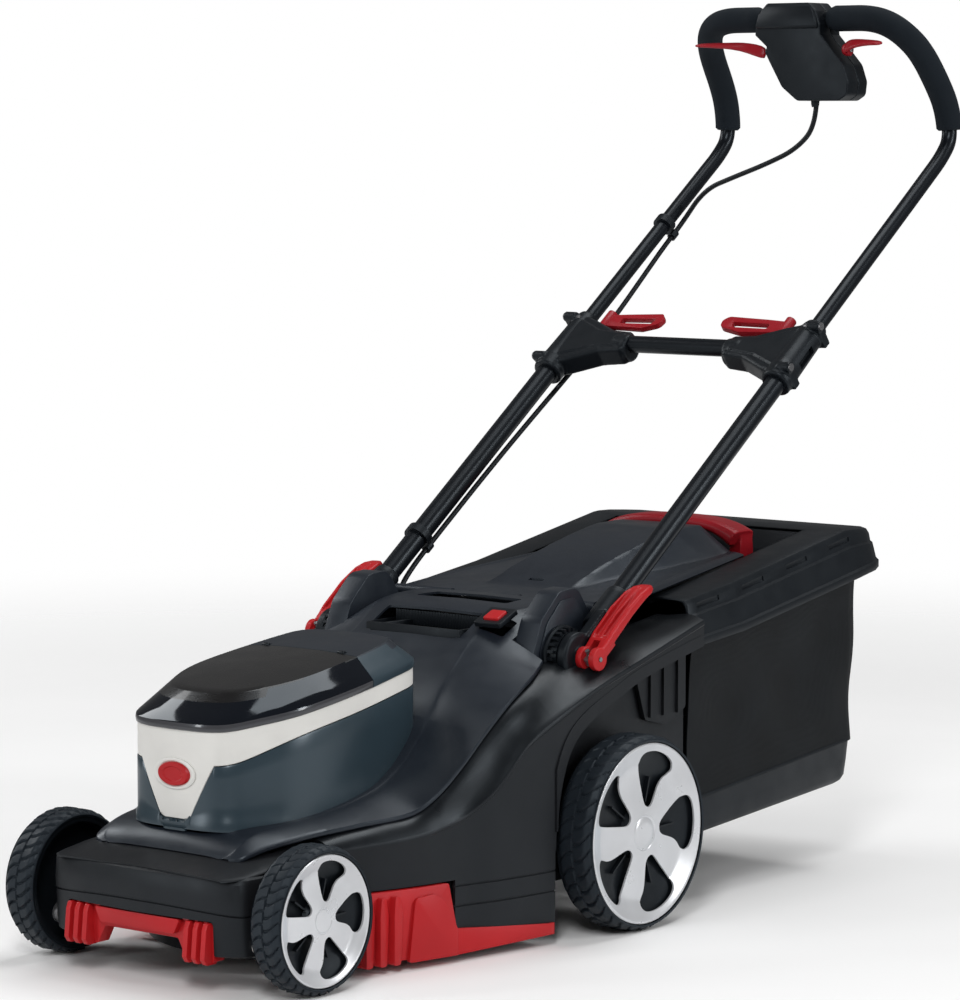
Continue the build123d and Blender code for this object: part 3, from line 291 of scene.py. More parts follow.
def curve_through(points, closed=False, steps=6):
    """A smooth curve that rounds the corners of a control polygon."""
    points = [Vector(p) for p in points]
    count = len(points)
    if closed:
        triples = [(points[i - 1], points[i], points[(i + 1) % count]) for i in range(count)]
    else:
        triples = [(points[i - 1], points[i], points[i + 1]) for i in range(1, count - 1)]
    curve = []
    for index, (before, at, after) in enumerate(triples):
        start = before if not closed and index == 0 else (before + at) / 2
        end = after if not closed and index == len(triples) - 1 else (at + after) / 2
        for step in range(steps):
            t = step / steps
            curve.append(start * (1 - t) ** 2 + at * 2 * t * (1 - t) + end * t**2)
    if not closed:
        curve.append(points[-1])
    return curve


def mirrored(points):
    """A closed outline from its right-hand half, which starts and ends on the middle line."""
    return points + [(-p[0], *p[1:]) for p in reversed(points[1:-1])]


def rounded(outline, radius, steps=5):
    """A flat outline with its corners rounded; radius is one value or one per corner."""
    radii = radius if isinstance(radius, (list, tuple)) else [radius] * len(outline)
    points = [Vector(p) for p in outline]
    result = []
    for i, at in enumerate(points):
        before, after = points[i - 1] - at, points[(i + 1) % len(points)] - at
        half = before.angle(after) / 2
        reach = min(radii[i] / max(1e-6, sin(half) / cos(half)), before.length * 0.49, after.length * 0.49)
        if reach < 0.05:
            result.append(at)
            continue
        start, end = at + before.normalized() * reach, at + after.normalized() * reach
        for step in range(steps + 1):
            t = step / steps
            result.append(start * (1 - t) ** 2 + at * 2 * t * (1 - t) + end * t**2)
    return [tuple(p) for p in result]


def rings_form(rings, closed=True, caps=True):
    """A surface through rings of (x, y, z) points; caps close its two ends."""
    form = bmesh.new()
    grid = [[form.verts.new(place(*point)) for point in ring] for ring in rings]
    count = len(rings[0])
    for low, high in zip(grid, grid[1:]):
        for i in range(count if closed else count - 1):
            j = (i + 1) % count
            form.faces.new((low[i], low[j], high[j], high[i]))
    if caps:
        form.faces.new(grid[0][::-1])
        form.faces.new(grid[-1])
    bmesh.ops.remove_doubles(form, verts=form.verts, dist=1e-6)
    bmesh.ops.recalc_face_normals(form, faces=form.faces)
    return form


def plate_form(outline, axis, low, high):
    """A plate: an outline in the two other axes, between two values along the named axis."""
    def at(point, value):
        a, b = point
        return {"x": (value, a, b), "y": (a, value, b), "z": (a, b, value)}[axis]
    return rings_form([[at(point, value) for point in outline] for value in (low, high)])


def box_form(x, y, z):
    return plate_form([(x[0], y[0]), (x[1], y[0]), (x[1], y[1]), (x[0], y[1])], "z", *z)


def lathe_form(profile, centre, axis="x", steps=96):
    """A turned shape from (along, radius) points about an axis through centre."""
    rings = []
    for distance, radius in profile:
        ring = []
        for step in range(steps):
            angle = 2 * pi * step / steps
            u, v = radius * cos(angle), radius * sin(angle)
            ring.append({
                "x": (centre[0] + distance, centre[1] + u, centre[2] + v),
                "y": (centre[0] + u, centre[1] + distance, centre[2] + v),
                "z": (centre[0] + u, centre[1] + v, centre[2] + distance),
            }[axis])
        rings.append(ring)
    return rings_form(rings, caps=False)


def tube_form(points, radius, steps=24):
    """A round tube along a line of points; radius is one value or one per point."""
    points = [Vector(p) for p in points]
    radii = radius if isinstance(radius, (list, tuple)) else [radius] * len(points)
    rings, side = [], None
    for i, point in enumerate(points):
        direction = (points[min(i + 1, len(points) - 1)] - points[max(i - 1, 0)]).normalized()
        if side is None:
            side = direction.orthogonal().normalized()
        side = (side - direction * side.dot(direction)).normalized()
        up = direction.cross(side)
        rings.append([
            tuple(point + (side * cos(2 * pi * k / steps) + up * sin(2 * pi * k / steps)) * radii[i])
            for k in range(steps)
        ])
    return rings_form(rings)


def framed_form(form, origin, across, up):
    """A form drawn about zero with X across and Y up, moved to its place."""
    turn = Matrix((across, up, across.cross(up))).transposed().to_4x4()
    form.transform(Matrix.Translation(place(*origin)) @ turn @ Matrix.Translation(-place(0, 0, 0)))
    return form


def turned_form(form, angle, origin):
    """A form drawn about zero, turned about X and moved to its place."""
    form.transform(Matrix.Translation(-place(0, 0, 0)))
    form.transform(Matrix.Translation(place(*origin)) @ Matrix.Rotation(angle, 4, "X"))
    return form


def joined(*forms):
    """Several forms as one."""
    result = forms[0]
    for form in forms[1:]:
        mesh = bpy.data.meshes.new("part")
        form.to_mesh(mesh)
        result.from_mesh(mesh)
        form.free()
        bpy.data.meshes.remove(mesh)
    return result


def mirror_form(form):
    """A copy of a form on the mower's other side."""
    other = form.copy()
    other.transform(Matrix.Scale(-1, 4, (1, 0, 0)))
    bmesh.ops.reverse_faces(other, faces=other.faces)
    return other


def both_sides(form):
    return joined(form, mirror_form(form))


def temporary(form, name="temporary"):
    mesh = bpy.data.meshes.new(name)
    form.to_mesh(mesh)
    form.free()
    piece = bpy.data.objects.new(name, mesh)
    bpy.context.scene.collection.objects.link(piece)
    return piece


def applied(piece):
    """Applies a piece's modifiers to its mesh."""
    bpy.context.view_layer.update()
    graph = bpy.context.evaluated_depsgraph_get()
    mesh = bpy.data.meshes.new_from_object(piece.evaluated_get(graph))
    old, piece.data = piece.data, mesh
    piece.modifiers.clear()
    bpy.data.meshes.remove(old)


def modified(form, kind, **settings):
    """The form after one modifier."""
    piece = temporary(form)
    modifier = piece.modifiers.new("step", kind)
    for key, value in settings.items():
        setattr(modifier, key, value)
    applied(piece)
    result = bmesh.new()
    result.from_mesh(piece.data)
    bpy.data.meshes.remove(piece.data)
    return result


def boolean(form, other, operation):
    """The form after a boolean operation with another."""
    tool = temporary(other, "tool")
    form = modified(form, "BOOLEAN", operation=operation, solver="MANIFOLD", object=tool)
    bpy.data.meshes.remove(tool.data)
    return form


def cut(form, *cutters):
    """The form less the cutters."""
    for cutter in cutters:
        form = boolean(form, cutter, "DIFFERENCE")
    return form


def bevelled(form, width, segments=2, above=50):
    """The form with a bevel of this width (mm) on edges that turn by more than some degrees."""
    return modified(form, "BEVEL", width=width * MM, segments=segments, limit_method="ANGLE",
                    angle_limit=radians(above))


def thickened(form, depth):
    """A surface given a wall of this depth (mm) behind it."""
    return modified(form, "SOLIDIFY", thickness=depth * MM, offset=-1)


def moulded(form, voxel=1.2, rounds=4, factor=0.5):
    """Overlapping forms fused into one moulding with soft inner and outer corners."""
    form = modified(form, "REMESH", mode="VOXEL", voxel_size=voxel * MM)
    return modified(form, "SMOOTH", iterations=rounds, factor=factor)


def make_piece(name, form, body, slot, replaces=(), bevel=0.0, smooth=35, finishes=None, choose=None):
    """Turns a form into a piece of the mower.

    finishes are the names of its materials, and choose(centre, normal) gives a face's index in them,
    with the centre in millimetres as the shapes are drawn.
    """
    if bevel:
        form = bevelled(form, bevel, above=32)
    for face in form.faces:
        face.material_index = 0
        if choose:
            centre = (face.calc_center_median() - place(0, 0, 0)) / MM
            face.material_index = choose(centre, face.normal)
    piece = temporary(form, name)
    for finish in finishes or (slot,):
        piece.data.materials.append(material(finish))
    piece.data.shade_smooth()
    piece.data.set_sharp_from_angle(angle=radians(smooth))
    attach(piece, body)
    if replaces:
        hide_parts(*replaces)
    return piece


# how far out the floor stays solid, and where it ends, in metres
FLOOR_SOLID, FLOOR_EDGE = 1.1, 3.4


def make_floor():
    """A round pale floor that fades into the white backdrop."""
    form = bmesh.new()
    bmesh.ops.create_circle(form, cap_ends=True, radius=FLOOR_EDGE, segments=96)
    floor = temporary(form, "floor")
    nodes = Nodes("floor_finish")
    tint = nodes.ramp(nodes.noise(3, 4), (0.90, 0.90, 0.90, 1), (0.92, 0.92, 0.92, 1))
    nodes.link(tint, nodes.shader.inputs["Base Color"])
    distance = nodes.add("ShaderNodeVectorMath", operation="LENGTH")
    nodes.link(nodes.position, distance.inputs[0])
    fade = nodes.add("ShaderNodeMapRange", interpolation_type="SMOOTHSTEP")
    for key, value in (("From Min", FLOOR_SOLID), ("From Max", FLOOR_EDGE), ("To Min", 1), ("To Max", 0)):
        fade.inputs[key].default_value = value
    nodes.link(distance.outputs["Value"], fade.inputs["Value"])
    nodes.link(fade.outputs["Result"], nodes.shader.inputs["Alpha"])
    nodes.set(Roughness=0.8, Specular_IOR_Level=0.2)
    floor.data.materials.append(nodes.material)


# ---- battery and motor cowl ---------------------------------------------------------------------
COWL_SKIN, COWL_STEPS = 2.5, 26
RIM_Z, LID_SLOPE, LID_SPLIT_Y = 252.0, 0.15, 178.0
COWL_BASE = 150.5
COWL_PLAN = [(0, -16), (40, -15.5), (65, -6), (80, 26), (95, 62), (98.5, 110), (98, 168), (92, 222),
             (86, 262), (64, 268), (0, 268)]
LID_PLAN = [(0, 16), (28, 19), (50, 30), (66, 56), (76, 86), (79, 118), (76, 172), (70, 220), (64, 246),
            (46, 256), (0, 258)]
LID_TOP, LID_DOME = 30.6, 3.2       # the flat top's height over the rim and its swell in the middle
BAND_FLOOR = [(-40, 212), (0, 219), (66, 241), (150, 256), (247, 271), (300, 279)]
V_FOOT, V_TOP = (15.0, 152.0), (52.0, 222.0)
STEP_HEIGHT, STEP_OUT = 13.0, 1.8


def plan_ring(grow=0.0, steps=9):
    """The cowl's outline in plan, moved outwards by grow."""
    ring = curve_through(mirrored(COWL_PLAN), closed=True, steps=steps)
    points = [Vector((p[0], p[1])) for p in ring]
    result = []
    for i, point in enumerate(points):
        direction = points[(i + 1) % len(points)] - points[i - 1]
        outwards = Vector((direction.y, -direction.x)).normalized()
        result.append(point + outwards * grow)
    return result


def band_floor(x, y):
    """Height of the light band's lower edge on the cowl's wall, with the V at the front."""
    side = along(BAND_FLOOR, y)
    if y > 30:
        return side
    reach = abs(x)
    if reach <= V_FOOT[0]:
        return COWL_BASE + 0.2
    slope = (V_TOP[1] - V_FOOT[1]) / (V_TOP[0] - V_FOOT[0])
    return min(side, V_FOOT[1] + slope * (reach - V_FOOT[0]))


def rim(y):
    """Height of the lid's rim."""
    return RIM_Z + LID_SLOPE * y


def make_cowl():
    plan = plan_ring(steps=COWL_STEPS)
    step = plan_ring(STEP_OUT, COWL_STEPS)
    base = COWL_BASE + STEP_HEIGHT

    def ring(source, height):
        return [(p.x, p.y, height(p.x, p.y)) for p in source]

    def edge(x, y):
        return band_floor(x, y) - 0.7

    def up_to(z):
        return lambda x, y: min(z, max(COWL_BASE, edge(x, y)))

    def wall(share):
        return lambda x, y: max(COWL_BASE, min(base, edge(x, y)), mix(base, edge(x, y), share))

    stepped = []
    for p, q in zip(plan, step):
        share = smoothstep(70, 30, q.y)
        stepped.append(q * share + p * (1 - share))
    rings = [ring(stepped, up_to(COWL_BASE)), ring(stepped, up_to(base - 3)), ring(plan, up_to(base))]
    rings += [ring(plan, wall(share)) for share in (0.25, 0.5, 0.75, 0.97)]
    rings += [ring(plan_ring(-0.8, COWL_STEPS), wall(1.0))]
    form = thickened(rings_form(rings, caps=False), COWL_SKIN)
    make_piece("motor_cowl_shell", form, "chassis", "cowl_teal", ["motor_cowl"], smooth=40)

    def band(share):
        return lambda x, y: mix(band_floor(x, y) + 0.8, rim(y), share)

    plan = plan_ring(-0.4, COWL_STEPS)
    rings = [ring(plan_ring(-1.2, COWL_STEPS), band_floor)]
    rings += [ring(plan, band(share)) for share in (0.0, 0.33, 0.66, 1.0)]
    form = thickened(rings_form(rings, caps=False), COWL_SKIN)
    for y in (160.0, 183.0):
        for side in (-1, 1):
            form = cut(form, box_form(sorted((side * 97.2, side * 110)), (y, y + 0.8), (200, 300)))
    make_piece("cowl_band_ring", form, "chassis", "band_light", ["cowl_band"], smooth=40)


def lid_ring(share, lift):
    """An outline of the lid from its rim (share 0) to its flat top (share 1)."""
    points = [tuple(mix(a, b, share) for a, b in zip(low, high)) for low, high in zip(COWL_PLAN, LID_PLAN)]
    points[0], points[-1] = (0, mix(-17, 16, share)), (0, mix(267, 258, share))
    ring = curve_through(mirrored(points), closed=True, steps=12)
    return [(p.x, p.y, rim(p.y) + lift) for p in ring]


def lid_shell():
    """The whole lid from its rim over the slanted sides to the domed top."""
    rings = [lid_ring(0.0, 0.3), lid_ring(-0.035, 1.2), lid_ring(-0.05, 5.0), lid_ring(-0.03, 8.0)]
    rings += [lid_ring(mix(0.0, 0.97, t), mix(9.0, 29.5, t)) for t in (0.0, 0.35, 0.7, 1.0)]
    rings += [lid_ring(1.03, LID_TOP)]
    top = [Vector(p) for p in lid_ring(1.03, LID_TOP)]
    middle = Vector((0, 130, 0))
    for share in (0.9, 0.75, 0.55, 0.35, 0.15, 0.0):
        ring = []
        for p in top:
            flat = middle + (Vector((p.x, p.y, 0)) - middle) * share
            ring.append((flat.x, flat.y, rim(flat.y) + LID_TOP + LID_DOME * (1 - share**2)))
        rings.append(ring)
    return rings_form(rings, caps=False)


def half_lid(front):
    """The part of the lid before or behind its split, as a shell."""
    form = lid_shell()
    edge = LID_SPLIT_Y - 0.4 if front else LID_SPLIT_Y + 0.4
    bmesh.ops.bisect_plane(form, geom=form.verts[:] + form.edges[:] + form.faces[:],
                           plane_co=place(0, edge, 0), plane_no=(0, 1, 0),
                           clear_outer=front, clear_inner=not front)
    return thickened(form, 2.4)


def lid_zone(centre, normal):
    """0 on the slanted sides, 1 on the flat top, 2 on the bevelled strip above the rim."""
    if normal.z > 0.75 and centre.z > rim(centre.y) + 25:
        return 1
    return 2 if centre.z < rim(centre.y) + 8.2 else 0


def make_lid():
    def notched(form, span):
        """Half a lid with the hinges' places cut out of it."""
        return cut(form, *[box_form(sorted((side * 47, side * 57)), span, (300, 330)) for side in (-1, 1)])

    form = notched(half_lid(True), (177, 190))
    make_piece("battery_lid_shell", form, "battery_lid", "lid_black", ["battery_lid"], smooth=28,
               finishes=("lid_black", "lid_smoke", "lid_edge"), choose=lid_zone)
    form = notched(half_lid(False), (165, 185))
    make_piece("cowl_rear_shell", form, "chassis", "cowl_teal", ["cowl_rear_cap"], smooth=28,
               finishes=("cowl_teal", "hood_plastic", "cowl_teal"), choose=lid_zone)
    hinge = (0, 181.0, rim(181.0) + 31.7)
    pins = joined(*[lathe_form([(x - 4, 0), (x - 4, 2.6), (x + 4, 2.6), (x + 4, 0)], hinge, steps=24)
                    for x in (-52, 52)])
    make_piece("lid_hinge_barrels", pins, "battery_lid", "black_plastic", bevel=0.5)


def make_badge():
    """A plain oval badge in a raised frame on the front of the band."""
    oval = [(22 * cos(2 * pi * k / 48), 12.5 * sin(2 * pi * k / 48)) for k in range(48)]

    def layer(scale, depth):
        return [(u * scale, -16.0 - depth, 205 + v * scale) for u, v in oval]

    surround = [(1.28, -2), (1.28, 0.6), (1.2, 1.4), (1.08, 1.4), (1.0, 0.4), (0.4, 0.4)]
    make_piece("badge_frame", rings_form([layer(*at) for at in surround]), "chassis", "band_light")
    plate = [(0.98, -1), (0.98, 1.6), (0.9, 3.2), (0.62, 3.4), (0.56, 2.6), (0.3, 2.9), (0.05, 3.0)]
    make_piece("badge_plate", rings_form([layer(*at) for at in plate]), "chassis", "red_plastic")


# ---- hood ---------------------------------------------------------------------------------------
# y, then x and z of the hood's lower edge and of its ridge, then its height in the middle
HOOD = [
    (-32.0, (86.0, 129.5, 76.0, 130.0, 130.5)), (-29.0, (96.0, 131.0, 84.0, 134.5, 135.5)),
    (-22.0, (102.0, 134.5, 87.0, 141.0, 143.0)), (0.0, (108.0, 140.5, 88.0, 152.0, 155.0)),
    (50.0, (120.0, 147.0, 92.0, 158.0, 160.0)), (106.0, (140.0, 153.0, 102.0, 163.0, 165.0)),
    (166.0, (160.0, 159.5, 104.0, 174.0, 176.0)), (192.0, (171.0, 176.0, 104.0, 183.0, 185.0)),
    (222.0, (178.0, 202.0, 103.0, 200.0, 200.0)), (257.0, (180.0, 231.0, 100.0, 230.0, 229.0)),
    (297.0, (180.0, 259.0, 93.0, 268.0, 267.0)), (345.0, (173.0, 280.0, 84.0, 301.0, 302.0)),
    (366.0, (165.0, 286.0, 82.0, 314.0, 316.0)), (404.0, (150.0, 300.0, 90.0, 333.0, 335.0)),
    (440.0, (146.0, 312.0, 98.0, 338.0, 340.0)), (497.0, (146.0, 324.0, 104.0, 339.0, 341.0)),
]
HOOD_LIP = 5.0
TOWER_SLOT = 118.0                 # the towers' inner faces
BUTTON_AT, BUTTON_UP = (92.0, 386.0, 331.0), Vector((0.0, -0.39, 0.92))
ACROSS = Vector((1, 0, 0))


def hood_ring(y):
    """The hood's section at y, from one lower edge over the ridge to the other."""
    edge_x, edge_z, ridge_x, ridge_z, crown = along(HOOD, y)
    soft = 1 - smoothstep(10.0, 110.0, y)
    controls = [
        (edge_x, edge_z), (mix(edge_x, ridge_x, 0.35), mix(edge_z, ridge_z, 0.4)),
        (mix(edge_x, ridge_x, 0.8), mix(edge_z, ridge_z, 0.82)), (ridge_x + 1.0, ridge_z - 1.5),
        (ridge_x - 3 - 12 * soft, ridge_z), (ridge_x * 0.6, mix(ridge_z, crown, 0.6)), (0, crown),
    ]
    half = [(p[0], y, p[1]) for p in curve_through([(x, z) for x, z in controls], steps=6)]
    lip = [(edge_x - 2.5, y, edge_z - HOOD_LIP), (edge_x + 0.2, y, edge_z - HOOD_LIP),
           (edge_x + 1.0, y, edge_z - HOOD_LIP + 1.2), (edge_x + 1.0, y, edge_z - 1.4)]
    half = lip + half
    return half + [(-x, py, z) for x, py, z in half[-2::-1]]


def button_form(width, depth, low, high):
    """A block about the button's place, square to its face."""
    u, v = width / 2, depth / 2
    plate = plate_form(rounded([(-u, -v), (u, -v), (u, v), (-u, v)], 3), "z", low, high)
    return framed_form(plate, BUTTON_AT, ACROSS, BUTTON_UP.cross(ACROSS).normalized())


def make_hood():
    steps = [-32.0, -30.5, -29.0, -26.0, -22.0, -16.0, -8.0] + [float(y) for y in range(0, 496, 6)] + [497.0]
    surface = rings_form([hood_ring(y) for y in steps], closed=False, caps=False)
    cowl_hole = plate_form(plan_ring(-1.5), "z", 100, 300)
    front_slot = rounded([(-58, 356), (58, 356), (66, 366), (66, 399), (-66, 399), (-66, 366)], 4)
    back_slot = rounded([(-64, 440), (64, 440), (60, 474), (-60, 474)], 6)
    form = cut(thickened(surface, 2.6), cowl_hole, plate_form(front_slot, "z", 250, 380),
               plate_form(back_slot, "z", 250, 380), button_form(31, 29, -20, 30))
    for side in (-1, 1):
        inner, outer = side * TOWER_SLOT, side * 190
        notch = [(inner, 381), (outer, 381), (outer, 520), (inner, 520)]
        form = cut(form, plate_form(notch, "z", 250, 400))
    make_piece("hood_shell", form, "chassis", "hood_plastic", ["hood"], smooth=32)


def make_carry_recess():
    """The black recess under the carrying bar: rim frame, floor, gripping ribs and the small pocket."""
    well = cut(box_form((-65, 65), (358, 476), (270, 318)), box_form((-62, 62), (361, 473), (273, 340)),
               box_form((-100, 100), (437, 500), (300, 340)))
    teeth = [(x, -1.6 if index % 2 else 0.0) for index, x in enumerate(range(-60, 63, 2))]
    comb = plate_form([(x, 402 + d * 1.4) for x, d in teeth] + [(62, 412), (-62, 412)], "z", 312, 328)
    partition = plate_form([(-44, 362), (-38, 362), (-34, 400), (-40, 400)], "z", 272, 318)
    make_piece("carry_recess", joined(well, comb, partition), "chassis", "black_plastic",
               ["handle_insert"], bevel=0.4)
    bezel = cut(button_form(36, 34, -3, 2.4), button_form(22, 20, -10, 10))
    make_piece("button_bezel_frame", bezel, "chassis", "black_plastic", bevel=1.4)
    cap = button_form(20.4, 18.4, -6, 4.6)
    make_piece("height_button_cap", cap, "height_button", "red_plastic", ["height_button"], bevel=1.2)


# ---- deck, skirts, fenders and bumper -------------------------------------------------------------
# y, then x and z of the body's ledge under the hood and of its shoulder
BODY = [
    (60.0, (119.0, 141.0, 141.0, 128.0)), (85.0, (129.0, 145.0, 150.0, 130.5)),
    (130.0, (147.0, 150.0, 166.0, 133.0)), (166.0, (158.0, 155.0, 176.0, 136.5)),
    (192.0, (168.0, 171.0, 181.0, 142.0)), (222.0, (175.0, 197.0, 187.0, 151.0)),
    (257.0, (177.0, 226.0, 197.0, 174.0)), (297.0, (177.0, 253.0, 204.5, 213.0)),
    (345.0, (171.0, 273.0, 210.5, 238.0)), (411.0, (158.0, 290.0, 212.0, 262.0)),
    (487.0, (156.0, 302.0, 212.0, 283.0)), (600.0, (156.0, 318.0, 212.0, 314.0)),
]
SKIRT_Z, SKIRT_END, FENDER_END = 15.0, 338.0, 600.0
SEAMS = (58.0, 79.0)
COMB_TOP, COMB_END = 85.5, 205.0
REAR = {"y": 457.2, "r": 105.0, "rim": 97.5, "width": 47.0, "face": 243.2}
FRONT = {"y": 0.0, "r": 75.0, "rim": 67.0, "width": 39.4, "face": 188.3}


def body_column(y):
    """The body's side at y, from the ledge under the hood down to the skirt's edge."""
    ledge_x, ledge_z, x, z = along(BODY, y)
    upper = curve_through([(ledge_x - 8, ledge_z + 1), (ledge_x + 4, ledge_z),
                           (mix(ledge_x, x, 0.7), z + 10), (x - 1.0, z + 3.0)], steps=5)
    column = [(p[0], y, p[1]) for p in upper]
    column += [(x, y, z + 1.5), (x + 0.6, y, z), (x + 0.6, y, z - 1.6), (x - 0.2, y, z - 3.0)]
    for seam in reversed(SEAMS):
        column += [(x - depth, y, seam + z) for depth, z in ((0, 1.1), (1.4, 0.5), (1.4, -0.5), (0, -1.1))]
    return column + [(x, y, 36.0), (x, y, SKIRT_Z + 1), (x - 1, y, SKIRT_Z), (x - 4, y, SKIRT_Z)]


def wheel_arch_form(x, grow=0.0):
    """The space for a rear wheel, seen from the side."""
    line = [(SKIRT_END, -20), (SKIRT_END, 120), (345, 165), (362, 205), (393, 229), (449, 250), (497, 268),
            (602, 289)]
    outline = [(y - grow, z + grow) for y, z in curve_through(line)] + [(640, 290), (640, -20)]
    return plate_form(outline, "x", *x)


def side_zone(centre, normal):
    """0 on the textured wall, 1 on the darker band between the shoulder and the hood."""
    return 1 if centre.z > along(BODY, centre.y)[3] + 2 else 0


def make_body_sides():
    steps = [60.0 + 6 * k for k in range(90)] + [FENDER_END]
    front = rings_form([body_column(y) for y in steps if y <= SKIRT_END] + [body_column(SKIRT_END)],
                       closed=False, caps=False)
    front = cut(thickened(front, 3.0), box_form((130, 220), (50, COMB_END), (-5, COMB_TOP)))
    flange = rounded([(181, 15), (208, 15), (209.4, 200), (206, 236), (181, 236)], [1, 2, 3, 8, 1])
    flange = plate_form(flange, "y", SKIRT_END - 3, SKIRT_END)
    make_piece("side_skirt_panels", both_sides(joined(front, flange)), "chassis", "deck_plastic",
               ["side_skirts"], smooth=30, finishes=("deck_plastic", "fender_black"), choose=side_zone)
    rear = rings_form([body_column(SKIRT_END)] + [body_column(y) for y in steps if y > SKIRT_END],
                      closed=False, caps=False)
    rear = cut(thickened(rear, 3.0), wheel_arch_form((170, 230)),
               box_form((100, 230), (330, 640), (-10, 100)))
    lip = cut(wheel_arch_form((198, 212.2), 11.0), wheel_arch_form((190, 220)),
              box_form((190, 220), (300, 620), (-40, 120)), box_form((190, 220), (598, 700), (-40, 400)),
              box_form((190, 220), (300, SKIRT_END), (-40, 400)))
    plate = rounded([(505, 262), (596, 284), (596, 220), (560, 205), (522, 214)], 6)
    plate = plate_form(plate, "x", 185, 190)
    ribs = joined(*[box_form((186, 193), (y, y + 2.5), (216, 276)) for y in (528, 552, 578)])
    make_piece("fender_arches", both_sides(joined(rear, lip, plate, ribs)), "chassis", "deck_plastic",
               ["side_fenders"], smooth=30, finishes=("deck_plastic", "fender_black"), choose=side_zone)


def bumper_plan(inset):
    """Half of the bumper's front in plan, from the middle to the side's back."""
    side = 133.0 - inset
    return [(0, -77.0 + inset), (60, -75.0 + inset), (112 - inset, -68.0 + inset), (side - 3, -58 + inset),
            (side, -44), (side, 20), (side, 84)]


def bumper_ring(z, inset):
    """The bumper's outline at a height, from its left end round the front to its right end."""
    half = curve_through([(x, y, z) for x, y in bumper_plan(inset)], steps=7)
    return [(-p.x, p.y, p.z) for p in reversed(half[1:])] + [tuple(p) for p in half]


def make_bumper():
    def seam(x):
        return 86.0 - 6.0 * (x / 133.0) ** 2

    levels = [(39.0, 3.5), (40.5, 2.2), (60.0, 1.2)]
    rings = [bumper_ring(z, inset) for z, inset in levels]
    for offset, inset in ((-1.2, 0.8), (-0.5, 2.2), (0.5, 2.2), (1.2, 0.3), (12.0, 0.0)):
        rings.append([(x, y, seam(x) + offset) for x, y, z in bumper_ring(0, inset)])
    for z, inset in ((112.0, 1.0), (116.0, 3.0), (118.5, 7.0)):
        rings.append(bumper_ring(z, inset))
    shell = thickened(rings_form(rings, closed=False, caps=False), 3.0)
    window = plate_form(rounded([(-99, 20), (-99, 74), (99, 74), (99, 20)], 5), "y", -110, -50)
    shell = cut(shell, window)
    top = []
    for y, half, edge, crown in ((-71, 112, 117.5, 118.5), (-62, 122, 118.5, 120.5), (-48, 126, 119.5, 124),
                                 (-33, 127, 121, 128.5), (-20, 128, 122.5, 131.5), (20, 131, 124.5, 137),
                                 (60, 136, 126.5, 141), (84, 148, 130, 144)):
        controls = [(half, edge - 2.5), (half - 1, edge), (half * 0.86, mix(edge, crown, 0.55)),
                    (half * 0.7, crown), (0, crown + 0.5)]
        row = [(p[0], y, p[1]) for p in curve_through(controls, steps=6)]
        top.append(row + [(-x, py, z) for x, py, z in row[-2::-1]])
    roof = thickened(rings_form(top, closed=False, caps=False), 2.0)
    roof = cut(roof, box_form((-105, 105), (10, 120), (100, 200)))
    make_piece("bumper_shell", joined(shell, roof), "chassis", "deck_plastic", ["front_bumper"], smooth=30)


def make_combs():
    edge = 97.5
    outline = [(-edge, 33), (-60, 33), (-50, 52), (50, 52), (60, 33), (edge, 33), (edge, 72.5),
               (-edge, 72.5)]
    comb = plate_form(rounded(outline, [2, 2, 4, 4, 2, 2, 3, 3]), "y", -66, -50.5)
    step = plate_form(rounded([(-50, 57), (50, 57), (58, 72), (-58, 72)], 2), "y", -73, -62)
    rib = rounded([(-78, 37), (-74, 31), (-60, 31), (-60, 72.5), (-72, 72.5), (-75, 66)], 2)
    ribs = both_sides(joined(*[plate_form(rib, "x", 66 + 12 * k, 72 + 12 * k) for k in range(3)]))

    side = rounded([(86.5, 12), (150, 12), (202, 8), (204, 38), (194, 84), (86.5, 84)], 3)
    plan = [(142, 87), (158, 87), (163, 110), (176, 150), (186, 204), (172, 204), (142, 150)]
    parts = [boolean(plate_form(side, "x", 142, 196), plate_form(plan, "z", 0, 100), "INTERSECT")]
    for k in range(3):
        y, x = 88 + 16 * k, 150 + 5.0 * k
        blade = [(y, 9), (y + 10, 9), (y + 13, 60), (y + 9, 78), (y + 2, 80), (y, 60)]
        parts.append(plate_form(rounded(blade, 3), "x", x - 8, x + 14))
    panel = rounded([(140, 9), (203, 9), (203, 36), (186, 68), (172, 76), (148, 74)], [3, 2, 3, 10, 8, 6])
    panel = plate_form(panel, "x", -3, 2.5)
    turn, middle = radians(12.0), 172 * MM
    panel.transform(Matrix.Translation(place(0, 0, 0)) @ Matrix.Rotation(-turn, 4, "Z")
                    @ Matrix.Translation(-place(0, 0, 0)))
    shift = Vector((181 * MM, 0, 0)) - Vector((middle * sin(turn), middle * (cos(turn) - 1), 0))
    panel.transform(Matrix.Translation(shift))
    stations = ((202, 187, 8.5, 36), (326, 212, 13, 25), (334, 212, 13, 25))
    strip = rings_form([[(x, y, z) for x, z in ((a - 9, low), (a, low), (a, high), (a - 9, high))]
                        for y, a, low, high in stations])
    sides = both_sides(joined(*parts, panel, strip))
    make_piece("grass_comb_set", joined(comb, step, ribs, sides), "chassis", "red_plastic", ["grass_combs"],
               bevel=0.7)


# ---- wheels -------------------------------------------------------------------------------------
SPOKES, LUGS, LUG_HEIGHT, LUG_STEPS = 5, 36, 2.9, 14


